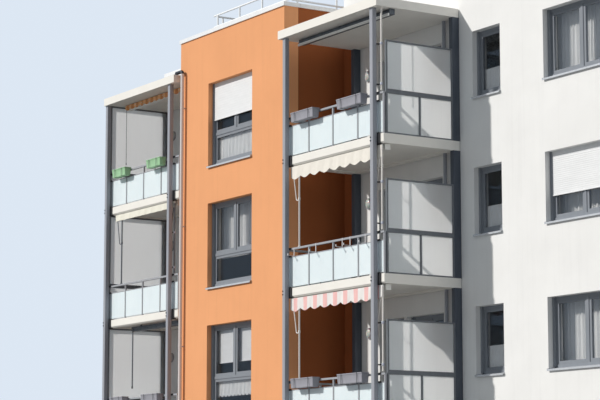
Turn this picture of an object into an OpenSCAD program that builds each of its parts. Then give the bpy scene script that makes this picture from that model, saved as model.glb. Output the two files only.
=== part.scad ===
// Four-storey apartment block with an orange bay, two mast-carried balcony
// towers and a plain white wing, built as separate pieces.
// +X runs along the front to the right, +Y goes into the building and +Z is up.
// The origin is on the ground, in the middle of the main body.

/* [Building] */
// Length of the whole building along the street
total_w = 20520; // [20400:10:24000]
// Depth of the main body, front wall face to back wall face
body_d = 11200; // [9000:50:14000]
// Thickness of the outer walls with their insulation
wall_t = 360; // [280:10:420]
// Height from floor to floor
storey_h = 2800; // [2750:10:3100]
// Height of the ground floor above the ground
ground_floor_z = 380; // [300:10:600]
// Number of storeys
storeys = 4; // [3:1:5]
// Thickness of the concrete floors
floor_t = 200; // [160:10:260]

/* [Roof] */
// Thickness of the roof slab with its insulation and gravel
roof_t = 470; // [350:10:550]
// Height of the low parapet above the roof
parapet_h = 430; // [300:10:800]
// Extra height of the white volume over the orange one
high_rise = 1020; // [800:10:1500]
// Thickness of the upper roof deck
high_deck_t = 250; // [200:10:300]
// Depth of the upper roof deck below its parapet
high_deck_drop = 450; // [350:10:500]
// Height of the metal coping
coping_h = 90; // [60:5:120]
// How far the coping stands out from the wall
coping_lip = 30; // [15:5:50]
// Open joint between lengths of coping
coping_joint = 6; // [4:1:10]

/* [Orange bay] */
// Width of the orange bay
bay_w = 4606; // [4400:10:4900]
// How far the bay stands out from the white wall
bay_proj = 1568; // [1400:10:1700]
// Width of the bay windows
bay_window_w = 1947; // [1500:10:2050]
// Place of the bay windows from the left corner of the bay
bay_window_from_left = 1310; // [800:10:1600]
// Bottom of the bay window openings above the floor
bay_window_z = 360; // [300:10:600]
// Height of the bay window openings
bay_window_h = 1964; // [1500:10:2050]
// Middle of the bay window transom above the floor
bay_transom_z = 1135; // [1000:5:1250]

/* [White wall windows] */
// Bottom of the openings above the floor
window_z = 815; // [700:10:950]
// Height of the openings
window_h = 1385; // [1200:10:1450]
// Width of the narrow windows
small_window_w = 902; // [700:10:1050]
// Width of the wide windows
wide_window_w = 1950; // [1500:10:2050]
// Middle of the wide windows from the right corner of the bay
wide_window_x = 7905; // [7700:5:8200]
// Distance between the middles of a narrow and a wide window
window_step = 2772; // [2500:5:2900]

/* [Window frames] */
// Width of the guide rails of the blinds, beside each window
guide_w = 55; // [35:1:60]
// Depth of the guide rails of the blinds
guide_d = 45; // [40:1:70]
// Depth of the plaster reveal in front of the frames
reveal_d = 160; // [100:5:180]
// Depth of a window frame
frame_d = 80; // [60:5:100]
// Width of the fixed frame
frame_w = 62; // [45:1:80]
// Width of a sash member
sash_w = 62; // [45:1:80]
// Step back from the fixed frame to the sash
sash_step = 14; // [5:1:20]
// Thickness of the glazing
glazing_t = 28; // [20:1:36]
// How far a sill stands out from the wall
sill_nose = 45; // [25:5:60]
// Fall of a sill over its depth
sill_fall = 30; // [20:1:40]
// Thickness of a sill at its front edge
sill_edge = 14; // [8:1:16]
// Width of a sill end cap
sill_cap_w = 8; // [4:1:15]

/* [Balcony towers] */
// Width of the left balcony slabs
left_tower_w = 3585; // [3500:5:3900]
// Width of the right balcony slabs
right_tower_w = 3717; // [3600:10:3900]
// Gap between the left tower and the bay
left_tower_gap = 14; // [10:1:30]
// Gap between the right tower and the bay
right_tower_gap = 526; // [400:5:600]
// Depth of the left balconies from the wall
left_tower_d = 1588; // [1500:10:1800]
// Depth of the right balconies from the wall
right_tower_d = 1897; // [1700:10:2000]
// Joint between a balcony slab and the wall
slab_joint = 20; // [10:5:40]
// Thickness of a balcony slab
slab_t = 195; // [160:5:220]
// Bevel at the lower edge of a balcony slab
slab_bevel = 30; // [10:5:50]
// Width of the deeper rim round the underside of a balcony slab
slab_rim_w = 170; // [120:5:200]
// Depth of the recess inside that rim
slab_recess = 35; // [20:5:60]
// Thickness of the tower roof slab
tower_roof_t = 181; // [150:1:220]
// Underside of the tower roof above the top floor
tower_roof_z = 2574; // [2500:2:2590]
// How far the tower roof passes the balcony fronts
roof_overhang = 165; // [162:1:250]

/* [Masts] */
// Width of a front mast
mast_w = 130; // [100:5:160]
// Depth of a front mast
mast_d = 90; // [70:5:120]
// Clear space between a front mast and the balcony slab
mast_gap = 70; // [50:5:70]
// Place of the left tower's front masts from the slab ends, left one first
left_mast_insets = [140, 170]; // [100:5:300]
// Place of the right tower's front masts from the slab ends, left one first
right_mast_insets = [275, 98]; // [60:1:300]
// Width of a wall mast
wall_mast_w = 125; // [100:5:150]
// Depth of a wall mast
wall_mast_d = 170; // [100:5:200]
// Width of the bracket between mast and slab
bracket_w = 90; // [60:5:100]
// Height of the bracket between mast and slab
bracket_h = 120; // [80:5:150]

/* [Railings] */
// Top of the handrail above the balcony floor
rail_top = 850; // [800:5:1100]
// Height of the handrail
rail_h = 40; // [30:1:60]
// Depth of the handrail
rail_d = 50; // [40:1:70]
// Bottom of the glass above the balcony floor
pane_z = 30; // [20:5:60]
// Top of the glass above the balcony floor
pane_top = 655; // [600:5:700]
// Thickness of the frosted glass
pane_t = 12; // [8:1:16]
// Height of the thin rail over the glass
thin_rail_h = 16; // [10:1:25]
// Width of a railing post
post_w = 36; // [24:1:50]
// Number of panes along a balcony front
pane_count = 4; // [3:1:5]
// Distance of the railing from the edge of the slab
rail_inset = 30; // [28:1:60]

/* [Awnings] */
// Left awnings: place from the left end of the slab, and length
left_awning = [290, 3240]; // [200:5:3250]
// Right awnings: place from the left end of the slab, and length
right_awning = [194, 3370]; // [150:5:3400]
// Depth of an awning case
case_d = 130; // [90:5:160]
// Height of an awning case
case_h = 110; // [80:5:140]
// Height of the front bar of an awning
bar_h = 50; // [35:1:70]
// Depth of the front bar of an awning
bar_d = 36; // [25:1:45]
// Width of an awning arm
arm_w = 36; // [25:1:45]
// Length of the hanging crank rod
crank_l = 1450; // [1000:10:1700]

/* [Side screens] */
// Top of the right-hand screens above the floor
screen_top = 1900; // [1700:10:2100]
// Top of the middle rail of the screens
screen_mid_top = 905; // [850:5:950]
// Height of the middle rail of the screens
screen_mid_h = 90; // [60:5:100]
// Width of a screen stile
screen_stile = 40; // [30:1:60]
// Height of the top and bottom rails of the screens
screen_rail = 30; // [20:1:45]
// Depth of the screen frames
screen_d = 44; // [30:1:60]
// Top of the full-height screen at the left end
tall_screen_top = 2500; // [2300:5:2520]
// Width of the post between the lower panes
screen_post = 60; // [40:1:70]

/* [Hidden] */

// Round pieces
$fn = 32;

// Main faces
x_left = -total_w / 2;
x_right = total_w / 2;
y_front = -body_d / 2;
y_back = body_d / 2;
y_bay = y_front - bay_proj;

// The bay and the two towers along the front
left_tower_x = x_left;
bay_x0 = left_tower_x + left_tower_w + left_tower_gap;
bay_x1 = bay_x0 + bay_w;
right_tower_x = bay_x1 + right_tower_gap;

// Each tower is [left end, width, depth from the wall, mast insets, awning place and length]
left_tower = [left_tower_x, left_tower_w, left_tower_d, left_mast_insets, left_awning];
right_tower = [right_tower_x, right_tower_w, right_tower_d, right_mast_insets, right_awning];
towers = [left_tower, right_tower];

// Levels
function floor_z(i) = ground_floor_z + i * storey_h;
top_floor = storeys - 1;
ceiling_z = floor_z(storeys) - floor_t;
roof_z = ceiling_z + roof_t;
low_top = roof_z + parapet_h;
high_top = low_top + high_rise;
high_deck_z = high_top - high_deck_drop;
tower_ceiling_z = floor_z(top_floor) + tower_roof_z;
tower_top_z = tower_ceiling_z + tower_roof_t;
// Underside of what is above the balcony of storey i
function above_z(i) = i == top_floor ? tower_ceiling_z : floor_z(i + 1) - slab_t;

// Openings in the walls: each is [middle along the wall, bottom above floor, width, height]
bay_opening = [bay_x0 + bay_window_from_left + bay_window_w / 2, bay_window_z, bay_window_w, bay_window_h];
wide_x = bay_x1 + wide_window_x;
front_openings = [
    [wide_x - window_step, window_z, small_window_w, window_h],
    [wide_x, window_z, wide_window_w, window_h],
    [wide_x + window_step, window_z, small_window_w, window_h]
];

// Each balcony has a door and a window behind it
balcony_door_w = 900;
balcony_door_h = 2170;
balcony_door_from = 1250;
balcony_window_w = 1300;
balcony_pier = 100;
balcony_sill_z = 900;
function tower_openings(t) = [
    [t[0] + balcony_door_from, 0, balcony_door_w, balcony_door_h],
    [t[0] + balcony_door_from + balcony_door_w / 2 + balcony_pier + balcony_window_w / 2,
        balcony_sill_z, balcony_window_w, balcony_door_h - balcony_sill_z]
];

// Windows of the unseen sides repeat the sizes of the front
end_window_ys = [-body_d / 4, body_d / 4];
end_openings = [for (y = end_window_ys) [y, window_z, small_window_w, window_h]];
back_step = 3000;
back_openings = [
    for (k = [-2.5, -1.5, -0.5, 0.5, 1.5, 2.5])
        [k * back_step, window_z, abs(k) < 1 ? small_window_w : wide_window_w, window_h]
];

// The entrance at the back of the ground floor
door_w = 1050;
door_h = 2150;
step_count = 3;
step_d = 320;
step_w = 1800;
landing_d = 900;

// A flat shape set upright, facing the street, from y to y + d
module facing(y, d) {
    translate([0, y + d, 0]) rotate([90, 0, 0]) linear_extrude(d) children();
}

// A flat shape set upright across the building, from x to x + d
module across(x, d) {
    translate([x, 0, 0]) rotate([90, 0, 90]) linear_extrude(d) children();
}

// The outline of one opening on the floor at level i
module opening_2d(o, i) {
    translate([o[0] - o[2] / 2, floor_z(i) + o[1]]) square([o[2], o[3]]);
}

module openings_2d(list) {
    for (i = [0:top_floor])
        for (o = list)
            opening_2d(o, i);
}

module rect_2d(x0, z0, x1, z1) {
    translate([x0, z0]) square([x1 - x0, z1 - z0]);
}

// Floors and roofs

// The inside of the walls, seen from above, with the room in the bay
module inside_2d() {
    rect_2d(x_left + wall_t, y_front + wall_t, x_right - wall_t, y_back - wall_t);
    rect_2d(bay_x0 + wall_t, y_bay + wall_t, bay_x1 - wall_t, y_front + wall_t);
}

module floor_plate(i) {
    color("lightgray")
        translate([0, 0, floor_z(i) - floor_t]) linear_extrude(floor_t) inside_2d();
}

module ground_slab() {
    color("gray")
        linear_extrude(ground_floor_z) inside_2d();
}

// Two steps up to the entrance at the back
module entrance_steps() {
    color("gray")
        for (k = [1:step_count - 1])
            translate([-step_w / 2, y_back, 0])
                cube([step_w, landing_d + (step_count - 1 - k) * step_d, k * ground_floor_z / step_count]);
}

module first_floor() { floor_plate(1); }
module second_floor() { floor_plate(2); }
module third_floor() { floor_plate(3); }

module roof_slab() {
    color("gray")
        translate([0, 0, ceiling_z]) linear_extrude(roof_t) inside_2d();
}

module high_roof_deck() {
    color("gray")
        translate([0, 0, high_deck_z - high_deck_t]) linear_extrude(high_deck_t)
            rect_2d(bay_x1 + wall_t, y_front + wall_t, x_right - wall_t, y_back - wall_t);
}

// Walls

// The white wall right of the bay is orange at its left edge, below the tower roof
module white_front_wall() {
    color("white")
        facing(y_front, wall_t)
            difference() {
                polygon([
                    [right_tower_x, 0], [x_right, 0], [x_right, high_top], [bay_x1, high_top],
                    [bay_x1, tower_top_z], [right_tower_x, tower_top_z]
                ]);
                openings_2d(front_openings);
                openings_2d(tower_openings(right_tower));
            }
}

module orange_corner_wall() {
    color("darkorange")
        facing(y_front, wall_t)
            rect_2d(bay_x1, 0, right_tower_x, tower_top_z);
}

module left_recess_wall() {
    color("white")
        facing(y_front, wall_t)
            difference() {
                rect_2d(x_left, 0, bay_x0, low_top);
                openings_2d(tower_openings(left_tower));
            }
}

module bay_front_wall() {
    color("darkorange")
        facing(y_bay, wall_t)
            difference() {
                rect_2d(bay_x0, 0, bay_x1, low_top);
                openings_2d([bay_opening]);
            }
}

module bay_side(x) {
    color("darkorange")
        across(x, wall_t)
            rect_2d(y_bay + wall_t, 0, y_front + wall_t, low_top);
}

module bay_left_wall() { bay_side(bay_x0); }

module bay_right_wall() { bay_side(bay_x1 - wall_t); }

module left_end_wall() {
    color("white")
        across(x_left, wall_t)
            difference() {
                rect_2d(y_front + wall_t, 0, y_back - wall_t, low_top);
                openings_2d(end_openings);
            }
}

module right_end_wall() {
    color("white")
        across(x_right - wall_t, wall_t)
            difference() {
                rect_2d(y_front + wall_t, 0, y_back - wall_t, high_top);
                openings_2d(end_openings);
            }
}

// The back wall has a joint where the white volume rises over the low roof
module back_wall(x0, x1, top) {
    color("white")
        facing(y_back - wall_t, wall_t)
            difference() {
                rect_2d(x0, 0, x1, top);
                openings_2d(back_openings);
                rect_2d(-door_w / 2, ground_floor_z, door_w / 2, ground_floor_z + door_h);
            }
}

module low_back_wall() { back_wall(x_left, bay_x1, low_top); }

module high_back_wall() { back_wall(bay_x1, x_right, high_top); }

module roof_step_wall() {
    color("white")
        across(bay_x1, wall_t)
            rect_2d(y_front + wall_t, roof_z, y_back - wall_t, high_top);
}

// Copings and the roof railing

// One straight length of coping over a wall, given by its two corners seen from above
module coping(x0, y0, x1, y1, z) {
    color("whitesmoke")
        translate([0, 0, z]) linear_extrude(coping_h) rect_2d(x0, y0, x1, y1);
}

module low_copings() {
    lip = coping_lip;
    j = coping_joint;
    coping(bay_x0 - lip, y_bay - lip, bay_x1 + lip, y_bay + wall_t + lip, low_top);
    coping(bay_x0 - lip, y_bay + wall_t + lip + j, bay_x0 + wall_t + lip, y_front - lip - j, low_top);
    coping(bay_x1 - wall_t - lip, y_bay + wall_t + lip + j, bay_x1 + lip, y_front - j, low_top);
    coping(x_left - lip, y_front - lip, bay_x0 + wall_t + lip, y_front + wall_t + lip, low_top);
    coping(x_left - lip, y_front + wall_t + lip + j, x_left + wall_t + lip, y_back - wall_t - lip - j, low_top);
    coping(x_left - lip, y_back - wall_t - lip, bay_x1 - j, y_back + lip, low_top);
}

module high_copings() {
    lip = coping_lip;
    j = coping_joint;
    coping(bay_x1 - lip, y_front - lip, x_right + lip, y_front + wall_t + lip, high_top);
    coping(bay_x1 - lip, y_front + wall_t + lip + j, bay_x1 + wall_t + lip, y_back - wall_t - lip - j, high_top);
    coping(x_right - wall_t - lip, y_front + wall_t + lip + j, x_right + lip, y_back - wall_t - lip - j, high_top);
    coping(bay_x1 - lip, y_back - wall_t - lip, x_right + lip, y_back + lip, high_top);
}

module copings() {
    low_copings();
    high_copings();
}

// The railing of the roof terrace: posts on the roof, a top rail and a middle rail
tube_r = 21;
roof_rail_top = low_top + 580;
roof_rail_mid = 270;
roof_rail_inset = 450;
roof_rail_left = 786;
roof_rail_right = 500;
roof_rail_bay = 1000;
roof_rail_back = 2400;
roof_rail_end = 160;
corner_gap = 60;

module railing_run(length, count) {
    height = roof_rail_top - roof_z;
    for (k = [0:count - 1])
        translate([roof_rail_end + k * (length - 2 * roof_rail_end) / (count - 1), 0, 0])
            cylinder(r = tube_r, h = height);
    for (z = [height, height - roof_rail_mid])
        translate([0, 0, z]) rotate([0, 90, 0]) cylinder(r = tube_r, h = length);
}

module roof_railing() {
    x0 = bay_x0 + roof_rail_left;
    x1 = bay_x1 - roof_rail_right;
    y0 = y_bay + roof_rail_inset;
    front_l = x1 - x0;
    side_l = y_front + roof_rail_back - y0 - corner_gap;
    color("gainsboro") {
        translate([x0, y0, roof_z]) railing_run(front_l, round(front_l / roof_rail_bay) + 1);
        for (x = [x0 + tube_r, x1 - tube_r])
            translate([x, y0 + corner_gap, roof_z]) rotate([0, 0, 90])
                railing_run(side_l, round(side_l / roof_rail_bay) + 1);
    }
}

// Window frames, glass, sills, blinds and curtains

// Panes of one window: each is [x0, z0, x1, z1] inside the opening
function pane_row(w, z0, z1, n) = [
    for (k = [0:n - 1])
        let (light = (w - 2 * frame_w - (n - 1) * frame_w) / n, x0 = frame_w + k * (light + frame_w))
            [x0, z0, x0 + light, z1]
];
// A plain window has one sash when it is narrow and two when it is wide
one_sash_w = 1200;
function plain_panes(o) = pane_row(o[2], frame_w + sill_depth, o[3] - frame_w, o[2] > one_sash_w ? 2 : 1);
// A door stands on its threshold, with no sill under it
function door_panes(o) = pane_row(o[2], frame_w, o[3] - frame_w, 1);
// A bay window has a fixed pane below the transom and two sashes above it
function bay_panes(o) = concat(
    pane_row(o[2], frame_w + sill_depth, bay_transom_z - bay_window_z - frame_w / 2, 1),
    pane_row(o[2], bay_transom_z - bay_window_z + frame_w / 2, o[3] - frame_w, 2)
);
sill_depth = sill_edge + sill_fall;

module pane_2d(p, inset) {
    rect_2d(p[0] + inset, p[1] + inset, p[2] - inset, p[3] - inset);
}

// Two guide rails for a blind stand on the front of a window frame
guide_lift = 20;
module guide_rails(o) {
    foot = sill_depth + guide_lift;
    for (x = [0, o[2] - guide_w])
        translate([x, foot, -guide_d]) linear_extrude(guide_d) square([guide_w, o[3] - foot]);
}

// The fixed frame and the sashes of one window, drawn flat with its front at height 0
module frame_body(o, bottom, panes) {
    if (bottom > 0) guide_rails(o);
    linear_extrude(frame_d) difference() {
        rect_2d(0, bottom, o[2], o[3]);
        for (p = panes) pane_2d(p, 0);
    }
    translate([0, 0, sash_step]) linear_extrude(frame_d - 2 * sash_step) difference() {
        for (p = panes) pane_2d(p, 0);
        for (p = panes) pane_2d(p, sash_w);
    }
}

module glass_body(panes) {
    translate([0, 0, (frame_d - glazing_t) / 2]) linear_extrude(glazing_t)
        for (p = panes) pane_2d(p, sash_w);
}

// Places a flat window in an opening of a wall that faces the street, the back or an end.
// depth is the distance from the wall face to the flat window's own height 0.
module in_front_wall(o, i, y, depth = reveal_d) {
    translate([o[0] - o[2] / 2, y + depth, floor_z(i) + o[1]])
        rotate([90, 0, 0]) mirror([0, 0, 1]) children();
}

module in_back_wall(o, i, depth = reveal_d) {
    translate([o[0] - o[2] / 2, y_back - depth, floor_z(i) + o[1]])
        rotate([90, 0, 0]) children();
}

module in_left_wall(o, i, depth = reveal_d) {
    translate([x_left + depth, o[0] - o[2] / 2, floor_z(i) + o[1]])
        rotate([90, 0, 90]) children();
}

module in_right_wall(o, i, depth = reveal_d) {
    translate([x_right - depth, o[0] - o[2] / 2, floor_z(i) + o[1]])
        rotate([90, 0, 90]) mirror([0, 0, 1]) children();
}

module bay_window_frames() {
    color("darkslategray")
        for (i = [0:top_floor])
            in_front_wall(bay_opening, i, y_bay)
                frame_body(bay_opening, sill_depth, bay_panes(bay_opening));
}

module front_window_frames() {
    color("darkslategray")
        for (i = [0:top_floor], o = front_openings)
            in_front_wall(o, i, y_front) frame_body(o, sill_depth, plain_panes(o));
}

// Behind a balcony, the first opening is the door and the second the window
module balcony_window_frames() {
    color("darkslategray")
        for (i = [0:top_floor], t = towers) {
            door = tower_openings(t)[0];
            window = tower_openings(t)[1];
            in_front_wall(door, i, y_front) frame_body(door, 0, door_panes(door));
            in_front_wall(window, i, y_front) frame_body(window, sill_depth, plain_panes(window));
        }
}

module end_and_back_window_frames() {
    color("darkslategray")
        for (i = [0:top_floor]) {
            for (o = end_openings) {
                in_left_wall(o, i) frame_body(o, sill_depth, plain_panes(o));
                in_right_wall(o, i) frame_body(o, sill_depth, plain_panes(o));
            }
            for (o = back_openings)
                in_back_wall(o, i) frame_body(o, sill_depth, plain_panes(o));
        }
}

// The entrance door: a frame, a leaf with a glazed strip and a bar handle
door_leaf_t = 60;
door_glass_w = 260;
door_glass_from = 140;
door_glass_low = 250;
door_glass_top = 300;
handle_r = 15;
handle_out = 60;
handle_from = 190;
handle_low = 700;
handle_l = 800;
handle_fixing = 100;

module entrance_door() {
    o = [0, 0, door_w, door_h];
    handle_x = door_w - handle_from;
    color("darkslategray") in_back_wall(o, 0) {
        linear_extrude(frame_d) difference() {
            rect_2d(0, 0, door_w, door_h);
            rect_2d(frame_w, frame_w / 2, door_w - frame_w, door_h - frame_w);
        }
        translate([0, 0, sash_step]) linear_extrude(door_leaf_t) difference() {
            rect_2d(frame_w, frame_w / 2, door_w - frame_w, door_h - frame_w);
            door_light_2d();
        }
        translate([handle_x, handle_low, -handle_out]) rotate([-90, 0, 0]) cylinder(r = handle_r, h = handle_l);
        for (z = [handle_low + handle_fixing, handle_low + handle_l - handle_fixing])
            translate([handle_x, z, -handle_out]) cylinder(r = handle_r, h = handle_out + sash_step);
    }
}

module door_light_2d() {
    x0 = frame_w + door_glass_from;
    rect_2d(x0, door_glass_low, x0 + door_glass_w, door_h - door_glass_top);
}

// All the glass of windows and doors
module window_glass() {
    color("lightblue") {
        for (i = [0:top_floor]) {
            in_front_wall(bay_opening, i, y_bay) glass_body(bay_panes(bay_opening));
            for (o = front_openings)
                in_front_wall(o, i, y_front) glass_body(plain_panes(o));
            for (t = towers) {
                door = tower_openings(t)[0];
                window = tower_openings(t)[1];
                in_front_wall(door, i, y_front) glass_body(door_panes(door));
                in_front_wall(window, i, y_front) glass_body(plain_panes(window));
            }
            for (o = end_openings) {
                in_left_wall(o, i) glass_body(plain_panes(o));
                in_right_wall(o, i) glass_body(plain_panes(o));
            }
            for (o = back_openings)
                in_back_wall(o, i) glass_body(plain_panes(o));
        }
        in_back_wall([0, 0, door_w, door_h], 0)
            translate([0, 0, sash_step + (door_leaf_t - glazing_t) / 2])
                linear_extrude(glazing_t) door_light_2d();
    }
}

// A sloping metal sill with a drip edge and a cap at each end.
// It is drawn with its back against the frame and runs out past the wall face.
drip = 22;
drip_t = 4;
cap_rise = 10;

module sill_body(w) {
    nose = -reveal_d - sill_nose;
    rotate([0, 90, 0]) rotate([0, 0, 90]) {
        linear_extrude(w)
            polygon([
                [nose, -drip], [nose, sill_edge], [0, sill_depth],
                [0, 0], [nose + drip_t, 0], [nose + drip_t, -drip]
            ]);
        for (s = [0, w - sill_cap_w])
            translate([0, 0, s]) linear_extrude(sill_cap_w)
                polygon([
                    [nose, -drip], [nose, sill_edge + cap_rise], [0, sill_depth + cap_rise],
                    [0, 0], [nose + drip_t, 0], [nose + drip_t, -drip]
                ]);
    }
}

// A sill in the street face of a wall: o is the opening, y the wall face
module front_sill(o, i, y) {
    translate([o[0] - o[2] / 2, y + reveal_d, floor_z(i) + o[1]]) sill_body(o[2]);
}

module window_sills() {
    color("silver")
        for (i = [0:top_floor]) {
            front_sill(bay_opening, i, y_bay);
            for (o = front_openings) front_sill(o, i, y_front);
            for (t = towers) front_sill(tower_openings(t)[1], i, y_front);
            for (o = back_openings)
                translate([o[0] + o[2] / 2, y_back - reveal_d, floor_z(i) + o[1]])
                    rotate([0, 0, 180]) sill_body(o[2]);
            for (o = end_openings) {
                translate([x_left + reveal_d, o[0] + o[2] / 2, floor_z(i) + o[1]])
                    rotate([0, 0, -90]) sill_body(o[2]);
                translate([x_right - reveal_d, o[0] - o[2] / 2, floor_z(i) + o[1]])
                    rotate([0, 0, 90]) sill_body(o[2]);
            }
        }
}

// Outside blinds run in the guide rails, inside blinds hang behind the frame.
// Each is [opening, wall face, storey, bottom of the blind above the floor, outside or inside].
blind_t = 14;
blind_gap = 12;
blind_rail_t = 20;
blind_rail_h = 28;
inner_blind_gap = 20;
blinds = [
    [bay_opening, y_bay, 3, 1450, "outside"],
    [bay_opening, y_bay, 1, 1460, "inside"],
    [front_openings[1], y_front, 2, 1340, "outside"]
];

module blind_body(o, bottom) {
    low = bottom - o[1];
    linear_extrude(blind_t) rect_2d(guide_w, low + blind_rail_h, o[2] - guide_w, o[3]);
    linear_extrude(blind_rail_t) rect_2d(guide_w, low, o[2] - guide_w, low + blind_rail_h);
}

module roller_blinds() {
    color("white")
        for (b = blinds)
            in_front_wall(b[0], b[2], b[1])
                translate([0, 0, b[4] == "outside" ? -blind_gap - blind_rail_t : frame_d + inner_blind_gap])
                    blind_body(b[0], b[3]);
}

// Long net curtains hang from the ceiling, behind the wall. Each is [opening, wall face, storey].
curtain_t = 60;
curtain_gap = 70;
curtain_over = 150;
curtain_low = 300;
curtain_clearance = 0.3;
long_curtains = [
    [bay_opening, y_bay, 2],
    [front_openings[1], y_front, 3],
    [front_openings[1], y_front, 2],
    [front_openings[1], y_front, 1]
];
// Short curtains hang on the sashes. Each also has its bottom and its top above the floor.
short_curtain_t = 25;
short_curtain_edge = 40;
short_curtains = concat(
    [[bay_opening, y_bay, 3, 440, 1110], [bay_opening, y_bay, 1, 700, 1110]],
    [for (i = [1:top_floor]) [front_openings[0], y_front, i, 900, 1420]]
);

module curtains() {
    color("ivory") {
        for (c = long_curtains) {
            half = c[0][2] / 2 + curtain_over;
            facing(c[1] + wall_t + curtain_gap, curtain_t)
                rect_2d(c[0][0] - half, floor_z(c[2]) + curtain_low, c[0][0] + half,
                    floor_z(c[2] + 1) - floor_t - curtain_clearance);
        }
        for (c = short_curtains) {
            half = c[0][2] / 2 - short_curtain_edge;
            facing(c[1] + reveal_d + frame_d + curtain_clearance, short_curtain_t)
                rect_2d(c[0][0] - half, floor_z(c[2]) + c[3], c[0][0] + half, floor_z(c[2]) + c[4]);
        }
    }
}

// Balcony towers

// A balcony slab: its front lower edge is bevelled and its underside has a deeper rim
module balcony_slab(t, i) {
    y0 = y_front - t[2];
    y1 = y_front - slab_joint;
    z1 = floor_z(i);
    difference() {
        across(t[0], t[1])
            polygon([
                [y0, z1], [y1, z1], [y1, z1 - slab_t], [y0 + slab_bevel, z1 - slab_t],
                [y0, z1 - slab_t + slab_bevel]
            ]);
        translate([t[0] + slab_rim_w, y0 + slab_rim_w, z1 - slab_t - 1])
            cube([t[1] - 2 * slab_rim_w, y1 - y0 - 2 * slab_rim_w, slab_recess + 1]);
    }
}

module balcony_slabs(t) {
    color("white")
        difference() {
            for (i = [0:top_floor]) balcony_slab(t, i);
            drain_pipe(t, drain_r + drain_clearance);
        }
}

module left_balcony_slabs() { balcony_slabs(left_tower); }
module right_balcony_slabs() { balcony_slabs(right_tower); }

module tower_roof(t) {
    color("white")
        translate([t[0], y_front - t[2] - roof_overhang, tower_ceiling_z])
            cube([t[1], t[2] + roof_overhang - slab_joint, tower_roof_t]);
}

module tower_roofs() {
    for (t = towers) tower_roof(t);
}

// The masts at the wall are bolted to it and stand between the slabs
module wall_masts(t) {
    for (m = [t[0], t[0] + t[1] - wall_mast_w])
        translate([m, y_front - wall_mast_d, 0]) {
            cube([wall_mast_w, wall_mast_d, floor_z(0) - slab_t]);
            for (i = [0:top_floor])
                translate([0, 0, floor_z(i)]) cube([wall_mast_w, wall_mast_d, above_z(i) - floor_z(i)]);
        }
}

// Front masts with a bracket to each slab, and the wall masts
module tower_masts(t) {
    mast_y = y_front - t[2] - mast_gap - mast_d;
    color("slategray") {
        for (m = [t[0] + t[3][0], t[0] + t[1] - t[3][1] - mast_w]) {
            translate([m, mast_y, 0]) cube([mast_w, mast_d, tower_ceiling_z]);
            for (i = [0:top_floor])
                translate([m + (mast_w - bracket_w) / 2, mast_y + mast_d, floor_z(i) - (slab_t + bracket_h) / 2])
                    cube([bracket_w, mast_gap, bracket_h]);
        }
        wall_masts(t);
    }
}

module left_tower_masts() { tower_masts(left_tower); }
module right_tower_masts() { tower_masts(right_tower); }

// One straight run of glass railing, drawn along +X from 0 with its middle line at y = 0.
// A thin rail runs over the glass and a handrail runs over the posts.
module railing_frame(length, count) {
    step = (length - post_w) / count;
    for (k = [0:count])
        translate([k * step, -post_w / 2, 0]) cube([post_w, post_w, rail_top - rail_h]);
    translate([0, -rail_d / 2, rail_top - rail_h]) cube([length, rail_d, rail_h]);
    translate([0, -pane_t, pane_top]) cube([length, 2 * pane_t, thin_rail_h]);
}

module railing_panes(length, count) {
    step = (length - post_w) / count;
    for (k = [0:count - 1])
        translate([k * step + post_w, -pane_t / 2, pane_z])
            cube([step - post_w, pane_t, pane_top - pane_z]);
}

// The middle line of a front railing lies behind the edge of the slab
function rail_y(t) = y_front - t[2] + rail_inset;
side_run_gap = 40;
function front_run_l(t) = t[1] - 2 * rail_inset + post_w;

module front_run(t, i) {
    translate([t[0] + rail_inset - post_w / 2, rail_y(t), floor_z(i)]) children();
}

// The run beside the bay, from behind the front railing to the wall mast
module side_run(t, i) {
    translate([t[0] + rail_inset, rail_y(t) + side_run_gap, floor_z(i)]) rotate([0, 0, 90]) children();
}
function side_run_l(t) = t[2] - rail_inset - side_run_gap - wall_mast_d;

module left_railings() {
    color("slategray")
        for (i = [0:top_floor])
            front_run(left_tower, i) railing_frame(front_run_l(left_tower), pane_count);
}

module right_railings() {
    color("slategray")
        for (i = [0:top_floor]) {
            front_run(right_tower, i) railing_frame(front_run_l(right_tower), pane_count);
            side_run(right_tower, i) railing_frame(side_run_l(right_tower), 2);
        }
}

module railing_glass() {
    color("azure")
        for (i = [0:top_floor]) {
            for (t = towers)
                front_run(t, i) railing_panes(front_run_l(t), pane_count);
            side_run(right_tower, i) railing_panes(side_run_l(right_tower), 2);
        }
}

// The panes of a side screen in its own flat frame, along the depth of the balcony
function half_screen_panes(l) = [
    [screen_stile, screen_rail, (l - screen_post) / 2, screen_mid_top - screen_mid_h],
    [(l + screen_post) / 2, screen_rail, l - screen_stile, screen_mid_top - screen_mid_h],
    [screen_stile, screen_mid_top, l - screen_stile, screen_top - screen_rail]
];
function tall_screen_panes(l) = [
    [screen_stile, screen_rail, l - screen_stile, screen_mid_top - screen_mid_h],
    [screen_stile, screen_mid_top, l - screen_stile, tall_screen_top - screen_rail]
];

// Places a flat screen at x, behind the front railing
module screen_place(x, t, i) {
    translate([x, rail_y(t) + side_run_gap, floor_z(i)]) rotate([90, 0, 90]) children();
}

module screen_frame(l, top, panes) {
    linear_extrude(screen_d) difference() {
        square([l, top]);
        for (p = panes) pane_2d(p, 0);
    }
}

module screen_panes(panes) {
    translate([0, 0, (screen_d - pane_t) / 2]) linear_extrude(pane_t)
        for (p = panes) pane_2d(p, 0);
}

right_screen_x = right_tower_x + right_tower_w - rail_inset - screen_d / 2;
left_screen_x = left_tower_x + rail_inset - screen_d / 2;

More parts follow.
